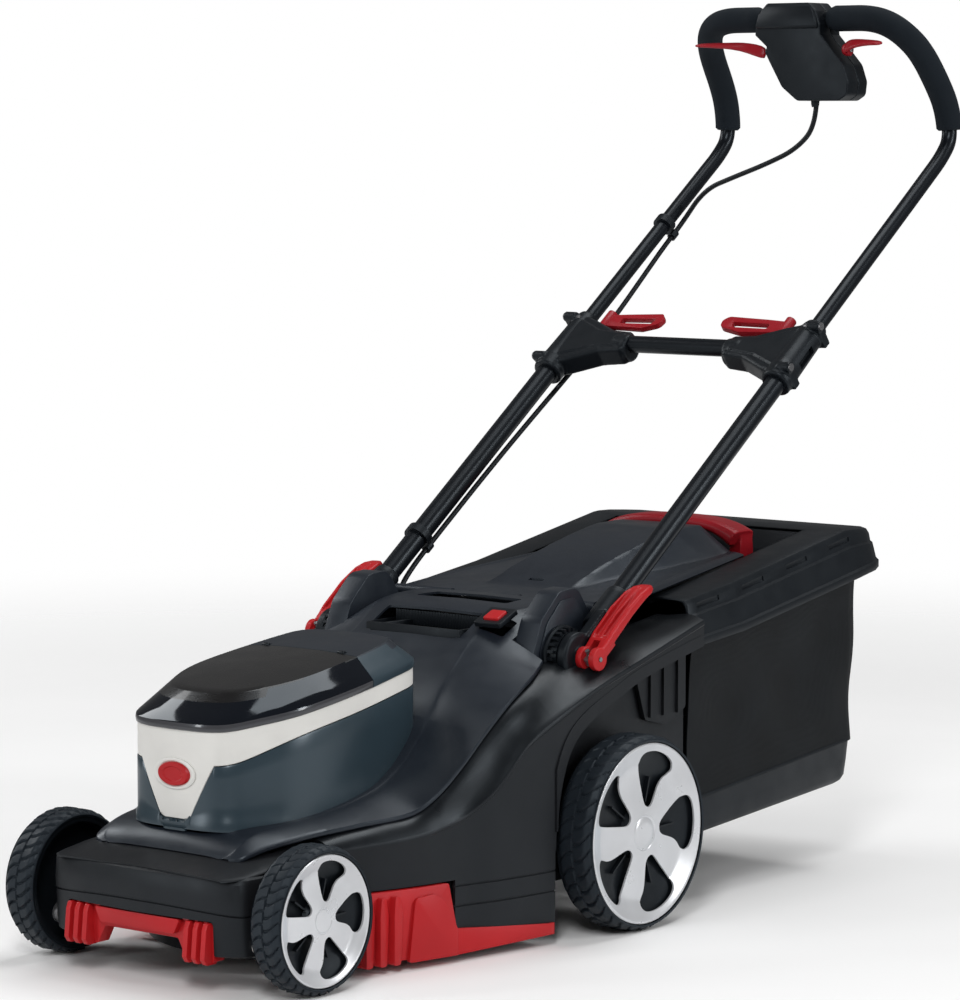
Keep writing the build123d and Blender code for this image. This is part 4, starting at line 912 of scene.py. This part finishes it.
def lug_height(across, turn):
    """How far a lug stands up; across runs from -1 to 1 over the tread, turn from 0 to 1 round it."""
    row = 1 if across > 0 else -1
    skew = row * (0.75 * abs(across) ** 1.6 - 0.12 * sin(pi * abs(across)))
    phase = (turn * LUGS + skew + (0.5 if row > 0 else 0.0)) % 1.0
    edge = smoothstep(0.04, 0.13, phase) * (1 - smoothstep(0.84, 0.95, phase))
    middle = smoothstep(0.01, 0.07, abs(across))
    return edge * middle * (0.55 + 0.45 * phase)


def tyre_form(wheel):
    """The tyre for the left side, with two rows of curved lugs."""
    face, width, full, rim = wheel["face"], wheel["width"], wheel["r"], wheel["rim"]
    base = full - LUG_HEIGHT - 0.1
    side = [(1.2, rim), (0.3, rim + 1.2), (0.0, mix(rim, base, 0.45)), (0.5, base - 4.5), (1.9, base - 2.0)]
    tread_from, tread_to = 3.4, width - 3.4
    profile = [(depth, radius, None) for depth, radius in side]
    for step in range(29):
        t = step / 28
        across = 2 * t - 1
        round_off = 2.6 * smoothstep(0.62, 1.0, abs(across)) ** 2
        profile.append((mix(tread_from, tread_to, t), base - round_off, across))
    profile += [(width - depth, radius, None) for depth, radius in reversed(side)]
    steps = LUGS * LUG_STEPS
    rings = []
    for depth, radius, across in profile:
        ring = []
        for step in range(steps):
            turn = step / steps
            reach = radius + (LUG_HEIGHT * lug_height(across, turn) if across is not None else 0.0)
            angle = 2 * pi * turn
            ring.append((face - depth, wheel["y"] + reach * sin(angle), full + reach * cos(angle)))
        rings.append(ring)
    return rings_form(rings, caps=False)


def spoke_opening(wheel, turn):
    """A hooked opening between two spokes, as (y, z) points; angles run clockwise from the outside."""
    reach = wheel["rim"] - 0.6
    hook = [(0.29, -6), (0.33, -13), (0.48, -17), (0.68, -19.5), (0.85, -19.5), (0.905, -13), (0.915, 0),
            (0.905, 12), (0.88, 21), (0.82, 25.5), (0.75, 24.5), (0.68, 20), (0.58, 17), (0.45, 16),
            (0.34, 14), (0.29, 7)]
    corners = []
    for rho, angle in hook:
        at = radians(angle) + turn
        corners.append((wheel["y"] + reach * rho * sin(at), wheel["r"] + reach * rho * cos(at)))
    return [tuple(p) for p in curve_through(corners, closed=True, steps=4)]


def trim_form(wheel):
    """The silver dished cover with its five openings."""
    face, reach = wheel["face"], wheel["rim"] - 0.6
    dish = [(5.2, 0.0), (5.3, 0.10), (5.7, 0.165), (6.6, 0.178), (6.6, 0.19), (5.9, 0.20), (6.6, 0.26),
            (8.0, 0.40), (9.2, 0.56), (9.6, 0.70), (9.3, 0.765), (7.6, 0.80), (5.2, 0.87), (3.2, 0.925),
            (2.2, 0.95), (1.5, 0.968), (1.4, 0.984), (2.0, 0.996), (3.4, 1.0), (6.5, 1.0)]
    scale = wheel["rim"] / 97.5
    profile = [(-mix(1.4, depth, scale ** 0.5), max(rho * reach, 0.001)) for depth, rho in dish]
    form = thickened(lathe_form(profile, (face, wheel["y"], wheel["r"]), steps=144), 2.0)
    for k in range(SPOKES):
        opening = spoke_opening(wheel, 2 * pi * k / SPOKES + radians(14))
        form = cut(form, plate_form(opening, "x", face - 30, face + 10))
    return form


def bowl_form(wheel):
    """The dark bowl seen through the openings: sloping side, floor and a rib in each opening."""
    face, reach = wheel["face"], wheel["rim"]
    bowl = [(10.2, 0.93), (12.5, 0.80), (16.5, 0.66), (16.8, 0.30), (10.5, 0.24)]
    centre = (face, wheel["y"], wheel["r"])
    form = thickened(lathe_form([(-depth, rho * reach) for depth, rho in bowl], centre), 1.2)
    for k in range(SPOKES):
        turn = 2 * pi * k / SPOKES + radians(16)
        rib = box_form((-16.8, -11.5), (-0.9, 0.9), (0.34 * reach, 0.62 * reach))
        form = joined(form, turned_form(rib, -turn, centre))
    return form


def turned_round(form, wheel):
    """The same moulding fitted to the other side."""
    centre = Vector((0, place(0, wheel["y"], 0).y, 0))
    form.transform(Matrix.Translation(centre) @ Matrix.Rotation(pi, 4, "Z") @ Matrix.Translation(-centre))
    return form


def make_wheels():
    kinds = (("tyre", tyre_form, "tyre_rubber"), ("wheel_trim", trim_form, "silver_trim"),
             ("wheel_bowl", bowl_form, "black_plastic"))
    for end, wheel in (("front", FRONT), ("rear", REAR)):
        for kind, maker, slot in kinds:
            left = maker(wheel)
            right = turned_round(left.copy(), wheel)
            for side, form in (("left", left), ("right", right)):
                name = f"{kind}_{end}_{side}"
                replaced = [] if kind == "wheel_bowl" else [name]
                make_piece(f"{name}_shape", form, f"wheel_{end}_{side}", slot, replaced, smooth=32)


# ---- handle -------------------------------------------------------------------------------------
PIVOT = (425.0, 291.0)
TUBE_X, TUBE_FOOT, TUBE_RISE = 163.0, (455.0, 307.6), 0.7297
TUBE_LENGTH = (1 + TUBE_RISE**2) ** 0.5
TUBE_DIR = Vector((0, 1 / TUBE_LENGTH, TUBE_RISE / TUBE_LENGTH))
TUBE_UP = Vector((0, -TUBE_RISE / TUBE_LENGTH, 1 / TUBE_LENGTH))
CROSSBAR, CROSSBAR_R = (845.0, 597.0), 10.0
LOWER_TUBE_R, UPPER_TUBE_R = 12.0, 9.0
CLAMP_X, LOOP_X = 190.0, 128.0


def tube_point(y, x=TUBE_X, up=0.0):
    """A point on a lower tube's axis, or some way square to it."""
    return Vector((x, y, TUBE_FOOT[1] + TUBE_RISE * (y - TUBE_FOOT[0]))) + TUBE_UP * up


def along_tube(form, origin):
    """A form drawn with X across, Y along the tubes and Z square to both, moved to origin."""
    return framed_form(form, origin, ACROSS, TUBE_DIR)


def make_towers():
    outline = rounded([(384, 246), (381, 296), (396, 332), (426, 359), (458, 361), (481, 330), (483, 246)],
                      [1, 20, 26, 20, 18, 20, 1], steps=7)
    post = bevelled(plate_form(outline, "x", 118.6, 146.5), 3.0, segments=3)
    smaller = [(mix(432, y, 0.80), mix(300, z, 0.84)) for y, z in outline]
    panel = bevelled(plate_form(smaller, "x", 146.4, 148.2), 1.0)
    disc = lathe_form([(0, 0.01), (0, 31), (3.5, 33), (6, 33), (7.5, 31), (7.5, 27), (16, 26), (16.2, 24),
                       (16.2, 0.01)], (146.5, *PIVOT), steps=72)
    teeth = [turned_form(box_form((154, 161.5), (-1.7, 1.7), (24, 30.5)), 2 * pi * k / 24, (0, *PIVOT))
             for k in range(24)]

    def zone(centre, normal):
        return 1 if abs(centre.x) > 148.3 else 0

    make_piece("tower_covers", both_sides(joined(post, panel, disc, *teeth)), "chassis", "hood_plastic",
               ["handle_towers"], finishes=("hood_plastic", "black_plastic"), choose=zone)


def make_forks():
    """The fold joint's arm and the sleeve that each lower tube stands in."""
    disc = lathe_form([(0, 0.01), (0, 24), (1, 27), (10, 27), (12.2, 24), (12.2, 12), (13.4, 11),
                       (13.4, 0.01)], (163.7, *PIVOT), steps=64)
    arm = along_tube(box_form((-6, 6), (0, 62), (-13, 13)), (170, *PIVOT))
    sleeve = tube_form([tube_point(y) for y in (466, 468, 506, 511, 512)], [14.5, 15.6, 15.4, 14.6, 12.1],
                       steps=48)
    ribs = [along_tube(box_form((3, 7.2), (22, 66), (z - 1.2, z + 1.2)), (170, *PIVOT)) for z in (-8, 0, 8)]
    form = moulded(joined(disc, arm, sleeve, *ribs), voxel=1.1, rounds=3)
    make_piece("fold_arms", both_sides(form), "lower_handle", "black_plastic", ["handle_forks"], smooth=40)


def make_cam_levers():
    """Quick-release levers: two cheeks round the pin, a channelled grip with a raised spine."""
    stations = [(-4, 11, 0, 8), (10, 12.6, 1, 9.5), (30, 13.6, 4, 9.5), (70, 13.8, 5.5, 9), (98, 13, 3, 8),
                (112, 11.4, -1, 7), (120, 7.5, -4, 5), (123.6, 3, -5.5, 2.5)]
    section = [(-1, -0.5), (-1, 0.35), (-0.86, 0.62), (0.86, 0.62), (1, 0.35), (1, -0.5), (0.86, -0.62),
               (-0.86, -0.62)]
    body = rings_form([[(u * half, y, z + v * deep) for u, v in section] for y, half, z, deep in stations])
    channel = box_form((-8.8, 8.8), (24, 108), (5.0, 30))
    spine = rings_form([[(x, y, z) for x, z in ((-2.4, 2), (-1.2, top), (1.2, top), (2.4, 2))]
                        for y, top in ((22, 8.0), (60, 10.2), (110, 7.0))])
    circle = [(12.3 * cos(2 * pi * k / 40), 12.3 * sin(2 * pi * k / 40)) for k in range(40)]
    cheeks = [plate_form(circle, "x", *span) for span in ((-12.2, -4.6), (4.6, 12.2))]
    neck = box_form((-12.2, 12.2), (8, 30), (-6, 7))
    slot = box_form((-4.5, 4.5), (-20, 20), (-30, 30))
    form = cut(moulded(joined(cut(body, channel), spine, neck, *cheeks), voxel=0.9, rounds=3), slot)
    form = along_tube(form, (CLAMP_X, *PIVOT))
    pin = lathe_form([(0, 0.01), (0, 2.3), (0.5, 2.6), (1.2, 2.6), (1.2, 0.01)], (CLAMP_X + 12, *PIVOT),
                     steps=32)
    for side, shape, head in (("left", form.copy(), pin.copy()),
                              ("right", mirror_form(form), mirror_form(pin))):
        lever = f"cam_lever_{side}"
        make_piece(f"clamp_lever_{side}", shape, lever, "red_plastic", [lever], smooth=40)
        make_piece(f"clamp_pin_{side}", head, lever, "zinc")


def make_brackets():
    """The moulded Y-shaped brackets with their clamp halves, windows and screw heads."""
    web = plate_form([(6, -49), (-22, -40), (-60, -21), (-92, -16.5), (-92, 16.5), (-62, 19), (-26, 36),
                      (4, 47)], "z", -13, 13)
    web = bevelled(web, 4.0, above=30)
    rib = plate_form([(-8, -34), (-44, -17), (-84, -10), (-84, 10), (-44, 14), (-8, 32)], "z", 8, 15)
    cuff = tube_form([(x - TUBE_X, 0, 0) for x in (69, 71, 88, 90)], [15.2, 16.4, 16.4, 15.0], steps=40)
    form = along_tube(joined(web, rib, cuff), tube_point(CROSSBAR[0]))
    low, high = 803.0, 886.0
    stations = (low, low + 1.5, low + 16, low + 22, high - 20, high - 6, high)
    radii = [16.2, 18.0, 18.0, 17.2, 16.0, 15.0, 12.6]
    sleeve = tube_form([tube_point(y) for y in stations], radii, steps=48)
    lugs = []
    for y in (814.0, 874.0):
        lugs.append(tube_form([tube_point(y, 166, 14.5), tube_point(y, 182.5, 14.5)], 6.2))
        lugs.append(along_tube(box_form((8, 18.5), (-5.5, 5.5), (-14, 12)), tube_point(y)))
    ear = along_tube(box_form((-5, 5), (-6, 5), (4, 14)), tube_point(CROSSBAR[0], LOOP_X))
    form = moulded(joined(form, sleeve, ear, *lugs))
    window = along_tube(box_form((11, 40), (-17, 15), (-4.5, 4.5)), tube_point(843))
    bore = tube_form([tube_point(y) for y in (780, 826)], LOWER_TUBE_R + 0.05, steps=48)
    upper = tube_form([tube_point(y) for y in (820, 920)], UPPER_TUBE_R + 0.1, steps=40)
    form = cut(form, window, bore, upper)
    make_piece("bracket_mouldings", both_sides(form), "lower_handle", "black_plastic", ["y_brackets"],
               smooth=40)


def make_loop_levers():
    """Finger loops: an open ring with a thick pin boss and a turned-up tip."""
    outside = rounded([(-6, -10), (-58, -12), (-84, -9), (-86, 2), (-80, 11), (-30, 12), (6, 9)],
                      [6, 10, 8, 6, 9, 12, 6])
    inside = rounded([(-22, -4.5), (-70, -5), (-74, 3), (-66, 5), (-22, 4.5)], 3.5)
    form = cut(plate_form(outside, "z", -3.4, 3.4), plate_form(inside, "z", -9, 9))
    for vertex in form.verts:
        x = (vertex.co.x - place(0, 0, 0).x) / MM
        vertex.co.z += 4.5 * (1 - smoothstep(-86, -60, x)) * MM
    boss = tube_form([(0, -15, 0), (0, 15, 0)], 6.4, steps=32)
    form = bevelled(joined(form, boss), 0.9, above=35)
    form = along_tube(form, tube_point(CROSSBAR[0], LOOP_X, 5.0) + TUBE_DIR * 40)
    for side, shape in (("left", form.copy()), ("right", mirror_form(form))):
        lever = f"loop_lever_{side}"
        make_piece(f"finger_loop_{side}", shape, lever, "dark_red", [lever], smooth=40)


def make_tubes():
    """The gloss-black lower tubes and crossbar, and the handlebar in one bent length."""
    lower = tube_form([tube_point(y) for y in (466, 825)], LOWER_TUBE_R, steps=64)
    cross = tube_form([(-94, *CROSSBAR), (94, *CROSSBAR)], CROSSBAR_R, steps=64)
    make_piece("lower_frame_tubes", joined(both_sides(lower), cross), "lower_handle", "tube_paint",
               ["frame_tubes"], smooth=60)
    bar = tube_form(curve_through(BAR, steps=12), UPPER_TUBE_R, steps=48)
    make_piece("handlebar_tube", both_sides(bar), "upper_handle", "tube_paint", ["handlebar"], smooth=60)


# the handlebar's axis from inside a lower tube to the middle of its top stretch
BAR = [(163, 742, 517.0), (163, 930, 654.2), (163, 1120, 792.8), (162.5, 1150, 814.7), (162, 1170, 837),
       (160, 1164, 873), (157, 1149, 900), (152.5, 1119, 938.5), (141.5, 1099, 959.5), (125, 1087, 973),
       (102, 1082, 979), (70, 1082, 979), (0, 1082, 979)]


def make_grips():
    """Foam sleeves over the bar, soft at their ends."""
    kept = [p for p in curve_through(BAR, steps=12) if p.z > 845.5 and p.x > 47.5]
    radii = []
    for p in kept:
        near = min((p - kept[0]).length, (p - kept[-1]).length)
        radii.append(12.6 + 2.8 * min(1.0, (near / 2.6)) ** 0.5)
    form = tube_form(kept, radii, steps=48)
    make_piece("foam_sleeves", both_sides(form), "upper_handle", "foam", ["foam_grips"], smooth=50)


def make_switch_box():
    outline = rounded([(-47, 960), (-46, 972), (-40, 988), (-30, 998), (30, 998), (40, 988), (46, 972),
                       (47, 960), (60, 946), (80, 924), (87, 904), (85, 888), (74, 881.5), (14, 881.5),
                       (-8, 898), (-26, 928), (-33, 940), (-30, 946)],
                      [2, 6, 8, 6, 6, 8, 6, 2, 8, 16, 10, 8, 8, 10, 16, 16, 3, 2])
    front = bevelled(plate_form(outline, "y", 1060.5, 1083.8), 2.2, segments=3)
    cap = plate_form([(-45, 964), (-45, 976), (-38, 990), (-29, 997.6), (29, 997.6), (38, 990), (45, 976),
                      (45, 964)], "y", 1063, 1083.8)
    # rows of the brow over the bar: half its width, its front and back, and the heights of both
    rows = ((44, 1062, 1070, 966, 966), (44, 1056.5, 1075, 970, 970), (40, 1056.5, 1080, 984, 986),
            (30, 1062, 1083, 997.5, 997.5))
    brow = rings_form([[(-half, fore, low), (half, fore, low), (half, aft, high), (-half, aft, high)]
                       for half, fore, aft, low, high in rows])
    screw_holes = [lathe_form([(-8, 0.01), (-8, 3.1), (5, 3.1), (5, 0.01)], (x, 1061, z), "y", 32)
                   for x, z in ((-26, 956), (8, 956), (70, 890))]
    shell = cut(joined(front, cap, bevelled(brow, 1.2, above=25)), *screw_holes)
    cable_exit = tube_form([(34, 1071, 884), (34, 1071, 877), (34, 1071, 874)], [5.4, 4.8, 4.0], steps=32)
    make_piece("switch_case_front", joined(shell, cable_exit), "upper_handle", "black_plastic",
               ["switch_box_front"], smooth=40)
    rear = bevelled(plate_form(outline, "y", 1084.2, 1103.6), 7.5, segments=4)
    well = lathe_form([(-6, 0.01), (-6, 10), (9, 10), (9, 0.01)], (38, 1100, 915), "y", 48)
    make_piece("switch_case_rear", cut(rear, well), "upper_handle", "black_plastic", ["switch_box_rear"],
               smooth=40)
    collar = lathe_form([(0, 9.9), (1.6, 9.9), (1.6, 12), (0, 13)], (38, 1103, 915), "y", 48)
    make_piece("button_collar", collar, "upper_handle", "black_plastic")


def make_bail():
    """The stop bail's paddles: a long one with a twist and a shorter one held by a bolt."""
    section = [(-0.5, -0.3), (-0.42, -0.5), (0.42, -0.5), (0.5, -0.3), (0.5, 0.3), (0.42, 0.5), (-0.42, 0.5),
               (-0.5, 0.3)]

    def paddle(stations):
        rings = []
        for x, y, z, width, lean, thick in stations:
            c, s = cos(radians(lean)), sin(radians(lean))
            rings.append([(x, y + u * width * c - v * thick * s, z + u * width * s + v * thick * c)
                          for u, v in section])
        return rings_form(rings)

    near = paddle([(76, 1069, 942, 14, 84, 6), (84, 1066, 946, 16, 66, 6), (94, 1061, 948.5, 17, 36, 5),
                   (112, 1061, 949.5, 16, 18, 4.4), (128, 1061, 949, 15, 12, 4),
                   (133.6, 1061, 948, 8, 12, 3)])
    boss = lathe_form([(-5, 0.01), (-5, 8), (4, 8), (5, 7), (5, 0.01)], (79, 1071, 942), "x", 40)
    bolt = lathe_form([(0, 0.01), (0, 3.6), (1.6, 3.4), (2.2, 2.4), (2.2, 0.01)], (84, 1071, 942), "x", 6)
    far = paddle([(-35, 1069, 938, 16, 86, 6), (-50, 1067, 942.5, 15, 70, 6), (-68, 1064, 947, 13, 40, 5),
                  (-90, 1061, 948.5, 17, 15, 4.4), (-125, 1061, 949, 17, 8, 4.2),
                  (-133.6, 1061, 949, 12, 8, 3)])
    form = modified(joined(near, boss, far), "SUBSURF", levels=1)
    make_piece("bail_paddles", form, "bail_lever", "dark_red", ["bail_lever"], smooth=50)
    make_piece("bail_bolt", bolt, "bail_lever", "zinc", bevel=0.3)


CABLE_X, CABLE_DROP, CABLE_R = -157.0, -16.5, 3.0


def cable_point(y, drop=CABLE_DROP, x=CABLE_X):
    return tuple(tube_point(y, x, drop))


CABLE_UPPER = [
    (34, 1074, 886), (34, 1073, 852), (8, 1070, 824), (-32, 1065, 806), (-78, 1063, 790), (-122, 1062, 774),
    cable_point(1054), cable_point(1020), cable_point(975, -20), cable_point(920, -24),
    cable_point(860, -25), cable_point(800, -22),
]
CABLE_LOWER = [
    cable_point(800, -22), cable_point(740, -19), cable_point(670, -17), cable_point(604),
    cable_point(526), cable_point(500, -24, -152), (-138, 489, 292), (-128, 490, 262),
]


def cable_line(points):
    """Points read from the smooth line of a cable's route, in millimetres as drawn."""
    curve = bpy.data.curves.new("route", "CURVE")
    curve.dimensions = "3D"
    curve.resolution_u = 10
    spline = curve.splines.new("NURBS")
    spline.points.add(len(points) - 1)
    for point, at in zip(spline.points, points):
        point.co = (*place(*at), 1)
    spline.order_u = 3
    spline.use_endpoint_u = True
    route = bpy.data.objects.new("route", curve)
    bpy.context.scene.collection.objects.link(route)
    bpy.context.view_layer.update()
    graph = bpy.context.evaluated_depsgraph_get()
    mesh = bpy.data.meshes.new_from_object(route.evaluated_get(graph))
    line = [(vertex.co - place(0, 0, 0)) / MM for vertex in mesh.vertices]
    bpy.data.meshes.remove(mesh)
    bpy.data.objects.remove(route)
    return line


def make_cables():
    """Both cables, each a round tube along the smooth line of its route."""
    routes = (
        ("cable_upper", CABLE_UPPER, "lower_handle", "upper_handle", cable_point(830), cable_point(1010)),
        ("cable_lower", CABLE_LOWER, "chassis", "lower_handle", (-130, 490, 268), cable_point(540)),
    )
    for name, points, low, high, start, end in routes:
        piece = temporary(tube_form(cable_line(points), CABLE_R, steps=20), f"{name}_line")
        piece.data.materials.append(material("cable_sheath"))
        piece.data.shade_smooth()
        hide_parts(name)
        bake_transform(piece)


# ---- flap and grass box -------------------------------------------------------------------------
FLAP_FRONT, FLAP_REAR, FLAP_Z, FLAP_RISE = 503.0, 816.0, 337.0, 29 / 314
BOX_TOP = [(604.0, 337.0), (694.0, 349.0), (924.0, 390.0), (985.0, 386.0), (1008.0, 374.0)]
BOX_LIP = [(604.0, 286.0), (694.0, 295.0), (940.0, 336.0), (1010.0, 343.0)]
BOX_PLAN = [(604.0, 200.0), (935.0, 200.0), (965.0, 195.0), (985.0, 186.0), (1000.0, 172.0), (1008.0, 155.0)]
SLOT_PLACES, SLOT_LENGTH, SLOT_HEIGHT = (642.0, 728.0, 814.0, 900.0), 42.0, 5.6
RECESS_HALF = 134.0


def on_line(knots, y):
    """The value at y of straight runs between knots of (y, value)."""
    y = min(max(y, knots[0][0]), knots[-1][0])
    for (y0, z0), (y1, z1) in zip(knots, knots[1:]):
        if y <= y1:
            return mix(z0, z1, (y - y0) / (y1 - y0))
    return knots[-1][1]


def flap_height(x, y):
    """Height of the flap's top with its raised middle."""
    base = FLAP_Z + FLAP_RISE * (y - 500.0)
    ridge = on_line([(556.0, base), (562.0, base + 1.5), (760.0, 393.0), (800.0, 394.0), (816.0, 391.0)], y)
    spread = mix(64.0, 96.0, smoothstep(560, 790, y))
    side = 1 - min(1.0, max(0.0, (abs(x) - 56.0) / (spread - 56.0)))
    crown = 1.5 * (1 - (x / 80.0) ** 2) if abs(x) < 80 else 0.0
    return base + max(0.0, ridge - base + crown * smoothstep(560, 640, y)) * side


def make_flap():
    rows = []
    stations = [FLAP_FRONT + 0.8, FLAP_FRONT + 2, *range(508, 810, 7), 812.0, 815.2, FLAP_REAR]
    for y in stations:
        half = on_line([(500, 146), (600, 146), (816, 113)], y)
        row = []
        for k in range(-60, 61):
            x = half * k / 60
            edge = min(half - abs(x), y - FLAP_FRONT + 2, FLAP_REAR - y + 2)
            bead = smoothstep(6, 8, edge) - smoothstep(11, 13, edge)
            drop = 3.2 * (1 - smoothstep(0, 5.0, edge)) - 1.3 * bead
            row.append((x, y, flap_height(x, y) - drop))
        rows.append(row)
    form = thickened(rings_form(rows, closed=False, caps=False), 2.4)
    form = cut(form, box_form((-10, 10), (572, 577), (320, 360)))
    barrels = [lathe_form([(x, 4.6), (x, 7), (y, 7), (y, 4.6)], (0, 500, 334), "x", 32)
               for x, y in ((-140, -60), (-35, 35), (60, 140))]
    make_piece("flap_cover", joined(form, *barrels), "rear_flap", "hood_plastic", ["rear_flap"], smooth=38)


def lid_section(y, inset=0.0, lower=0.0):
    """The box lid's section at y; the inside is the same, inset and lower."""
    half = on_line(BOX_PLAN, y) - inset
    top, lip = on_line(BOX_TOP, y) - inset, on_line(BOX_LIP, y) - lower
    side = [(half, lip), (half, lip + 8), (half - 3.5, lip + 10), (half - 9, mix(lip, top, 0.62)),
            (half - 12, mix(lip, top, 0.66)), (half - 14, top - 7), (half - 18, top - 2), (half - 26, top)]
    return [(-x, y, z) for x, z in side] + [(x, y, z) for x, z in reversed(side)]


def recess_form(grow):
    """The hollow in the lid's top, grown on every side."""
    half, back = RECESS_HALF + grow, 903.0 + grow
    outline = [(576.0 - grow, 328.5 - grow), (822.0, 352.5 - grow), (back, 352.5 - grow), (back, 460.0),
               (576.0 - grow, 460.0)]
    return plate_form(outline, "x", -half, half)


def make_box_lid():
    stations = [604.0, 620, 650, 694, 740, 800, 860, 920, 940, 955, 965, 975, 985, 993, 1000, 1005, 1008]
    outer = rings_form([lid_section(y) for y in stations])
    inner = rings_form([lid_section(y, 3.0, 12.0) for y in [596.0] + stations[1:-1] + [1005.0]])
    shell = cut(outer, inner)
    wall = boolean(recess_form(2.6), rings_form([lid_section(y) for y in stations]), "INTERSECT")
    shell = cut(joined(modified(shell, "WELD", merge_threshold=1e-6), wall), recess_form(0.0))
    slots = []
    for y in SLOT_PLACES:
        z = mix(on_line(BOX_LIP, y), on_line(BOX_TOP, y), 0.80)
        slope = atan2(on_line(BOX_TOP, y + 10) - on_line(BOX_TOP, y - 10), 20)
        slot = box_form((185.0, 200), (-SLOT_LENGTH / 2, SLOT_LENGTH / 2),
                        (-SLOT_HEIGHT / 2, SLOT_HEIGHT / 2))
        slots.append(both_sides(turned_form(slot, slope, (0, y, z))))
    shell = cut(shell, *slots)
    make_piece("box_cover", shell, "grass_box", "black_plastic", ["box_lid"], bevel=1.1, smooth=34)


def make_box_grip():
    """The grip's arched bar on two feet, hollowed beside them."""
    outline = [(-1, -0.5), (-1, 0.2), (-0.86, 0.8), (-0.5, 1), (0.5, 1), (0.86, 0.8), (1, 0.2), (1, -0.5),
               (0.8, -1), (-0.8, -1)]
    rings = []
    for k in range(-24, 25):
        t = k / 24
        x, z = 90 * t, 379 + 17.0 * (1 - abs(t) ** 3.4)
        tilt = -0.62 * t * abs(t) ** 0.3
        wide, thick = 20.0 + 1.5 * abs(t), 6.2 + 2.2 * abs(t) ** 3
        section = [(u * wide, v * thick) for u, v in outline]
        rings.append([(x - v * tilt, 843 + u, z + v) for u, v in section])
    feet = [plate_form([(836, 352.6), (864, 352.6), (862, 384), (838, 384)], "x", *sorted((s * 77, s * 93)))
            for s in (-1, 1)]
    form = moulded(joined(rings_form(rings), *feet), rounds=3)
    form = cut(form, *[box_form(sorted((s * 40, s * 80)), (842, 858), (340, 376)) for s in (-1, 1)])
    make_piece("box_grip", form, "grass_box", "dark_red", ["box_handle"], smooth=40)


FABRIC_FRONT, FABRIC_REAR, FABRIC_HALF, FABRIC_CORNER = 606.0, 932.0, 193.0, 20.0


def tray_top(y):
    """Height of the tray's top edge."""
    return 118.0 + (y - 614.0) * 31 / 313


def fabric_point(s, f):
    """A point of the bag: s runs from the front left round the back to the front right, f downwards."""
    side, back = FABRIC_REAR - FABRIC_FRONT, 2 * FABRIC_HALF
    along_it = s * (2 * side + back)
    if along_it < side:
        x, y, out = FABRIC_HALF, FABRIC_FRONT + along_it, Vector((1, 0))
    elif along_it < side + back:
        x, y, out = FABRIC_HALF - (along_it - side), FABRIC_REAR, Vector((0, 1))
    else:
        x, y, out = -FABRIC_HALF, FABRIC_REAR - (along_it - side - back), Vector((-1, 0))
    corner = Vector((FABRIC_HALF - FABRIC_CORNER, FABRIC_REAR - FABRIC_CORNER))
    if abs(x) > corner.x and y > corner.y:
        offset = Vector((abs(x) - corner.x, y - corner.y))
        turned = offset.normalized() * FABRIC_CORNER
        x, y = (corner.x + turned.x) * (1 if x > 0 else -1), corner.y + turned.y
        out = Vector((turned.x * (1 if x > 0 else -1), turned.y)).normalized()
    high = on_line(BOX_LIP, y) + 4.0
    low = tray_top(y) - 3.0
    held = sin(pi * min(1.0, max(0.0, f))) ** 0.8
    near_corner = min(1.0, min(abs(along_it - side), abs(along_it - side - back)) / 90.0)
    sag = 6.5 * held * smoothstep(0.0, 1.0, near_corner)
    # long soft folds that fall from the upper corners towards the middle of the tray
    fold = sin(0.030 * along_it + 4.2 * f) * sin(0.011 * along_it - 1.7)
    fold += 0.5 * sin(0.055 * along_it - 7.0 * f + 1.0)
    fold += 0.8 * sin(9.0 * f + 0.021 * along_it) * (1 - near_corner)
    depth = sag + held * (1.9 * fold + 2.6)
    rear_lean = 7.0 * (1 - f) * (1 if out.y > 0.5 else 0)
    z = mix(high, low, f) - 1.5 * held * near_corner
    return (x - out.x * depth, y - out.y * depth + rear_lean * 0.9, z)


def make_fabric():
    across, down = 240, 60
    rows = [[fabric_point(k / across, j / down) for k in range(across + 1)] for j in range(down + 1)]
    form = thickened(rings_form(rows, closed=False, caps=False), 1.2)
    make_piece("box_bag", form, "grass_box", "bag_fabric", ["box_fabric"], smooth=70)


def tray_ring(f, inset):
    """The tray's outline at a level from its top edge (0) to its floor (1)."""
    half, back = 193 - inset, 930 - inset * 1.6
    corners = rounded([(half, 614), (half, back), (-half, back), (-half, 614)], [1, 22, 22, 1], steps=8)
    ring = []
    for x, y in corners:
        high = tray_top(y)
        low = on_line([(614, 73.5), (700, 76.5), (912, 96.5), (930, 97.5)], y)
        ring.append((x, y, mix(high, low, f)))
    return ring


def make_tray():
    levels = ((0, 0.4), (0.03, 0), (0.05, 0), (0.07, 1.2), (0.1, 1.4), (0.5, 2.6), (0.84, 4.0), (0.94, 6.0),
              (0.985, 9.0), (1.0, 14.0))
    form = rings_form([tray_ring(f, inset) for f, inset in levels], caps=False)
    form.faces.new([form.verts.new(place(*point)) for point in tray_ring(1.0, 14.0)])
    bmesh.ops.remove_doubles(form, verts=form.verts, dist=1e-6)
    bmesh.ops.recalc_face_normals(form, faces=form.faces)
    form = thickened(form, 2.6)
    make_piece("box_base", form, "grass_box", "black_plastic", ["box_tray"], smooth=34)


make_camera()
make_lights()
make_floor()
dress_cad_nodes()
make_cowl()
make_lid()
make_badge()
make_hood()
make_carry_recess()
make_body_sides()
make_bumper()
make_combs()
make_wheels()
make_towers()
make_forks()
make_tubes()
make_cam_levers()
make_brackets()
make_loop_levers()
make_grips()
make_switch_box()
make_bail()
make_cables()
make_flap()
make_box_lid()
make_box_grip()
make_fabric()
make_tray()
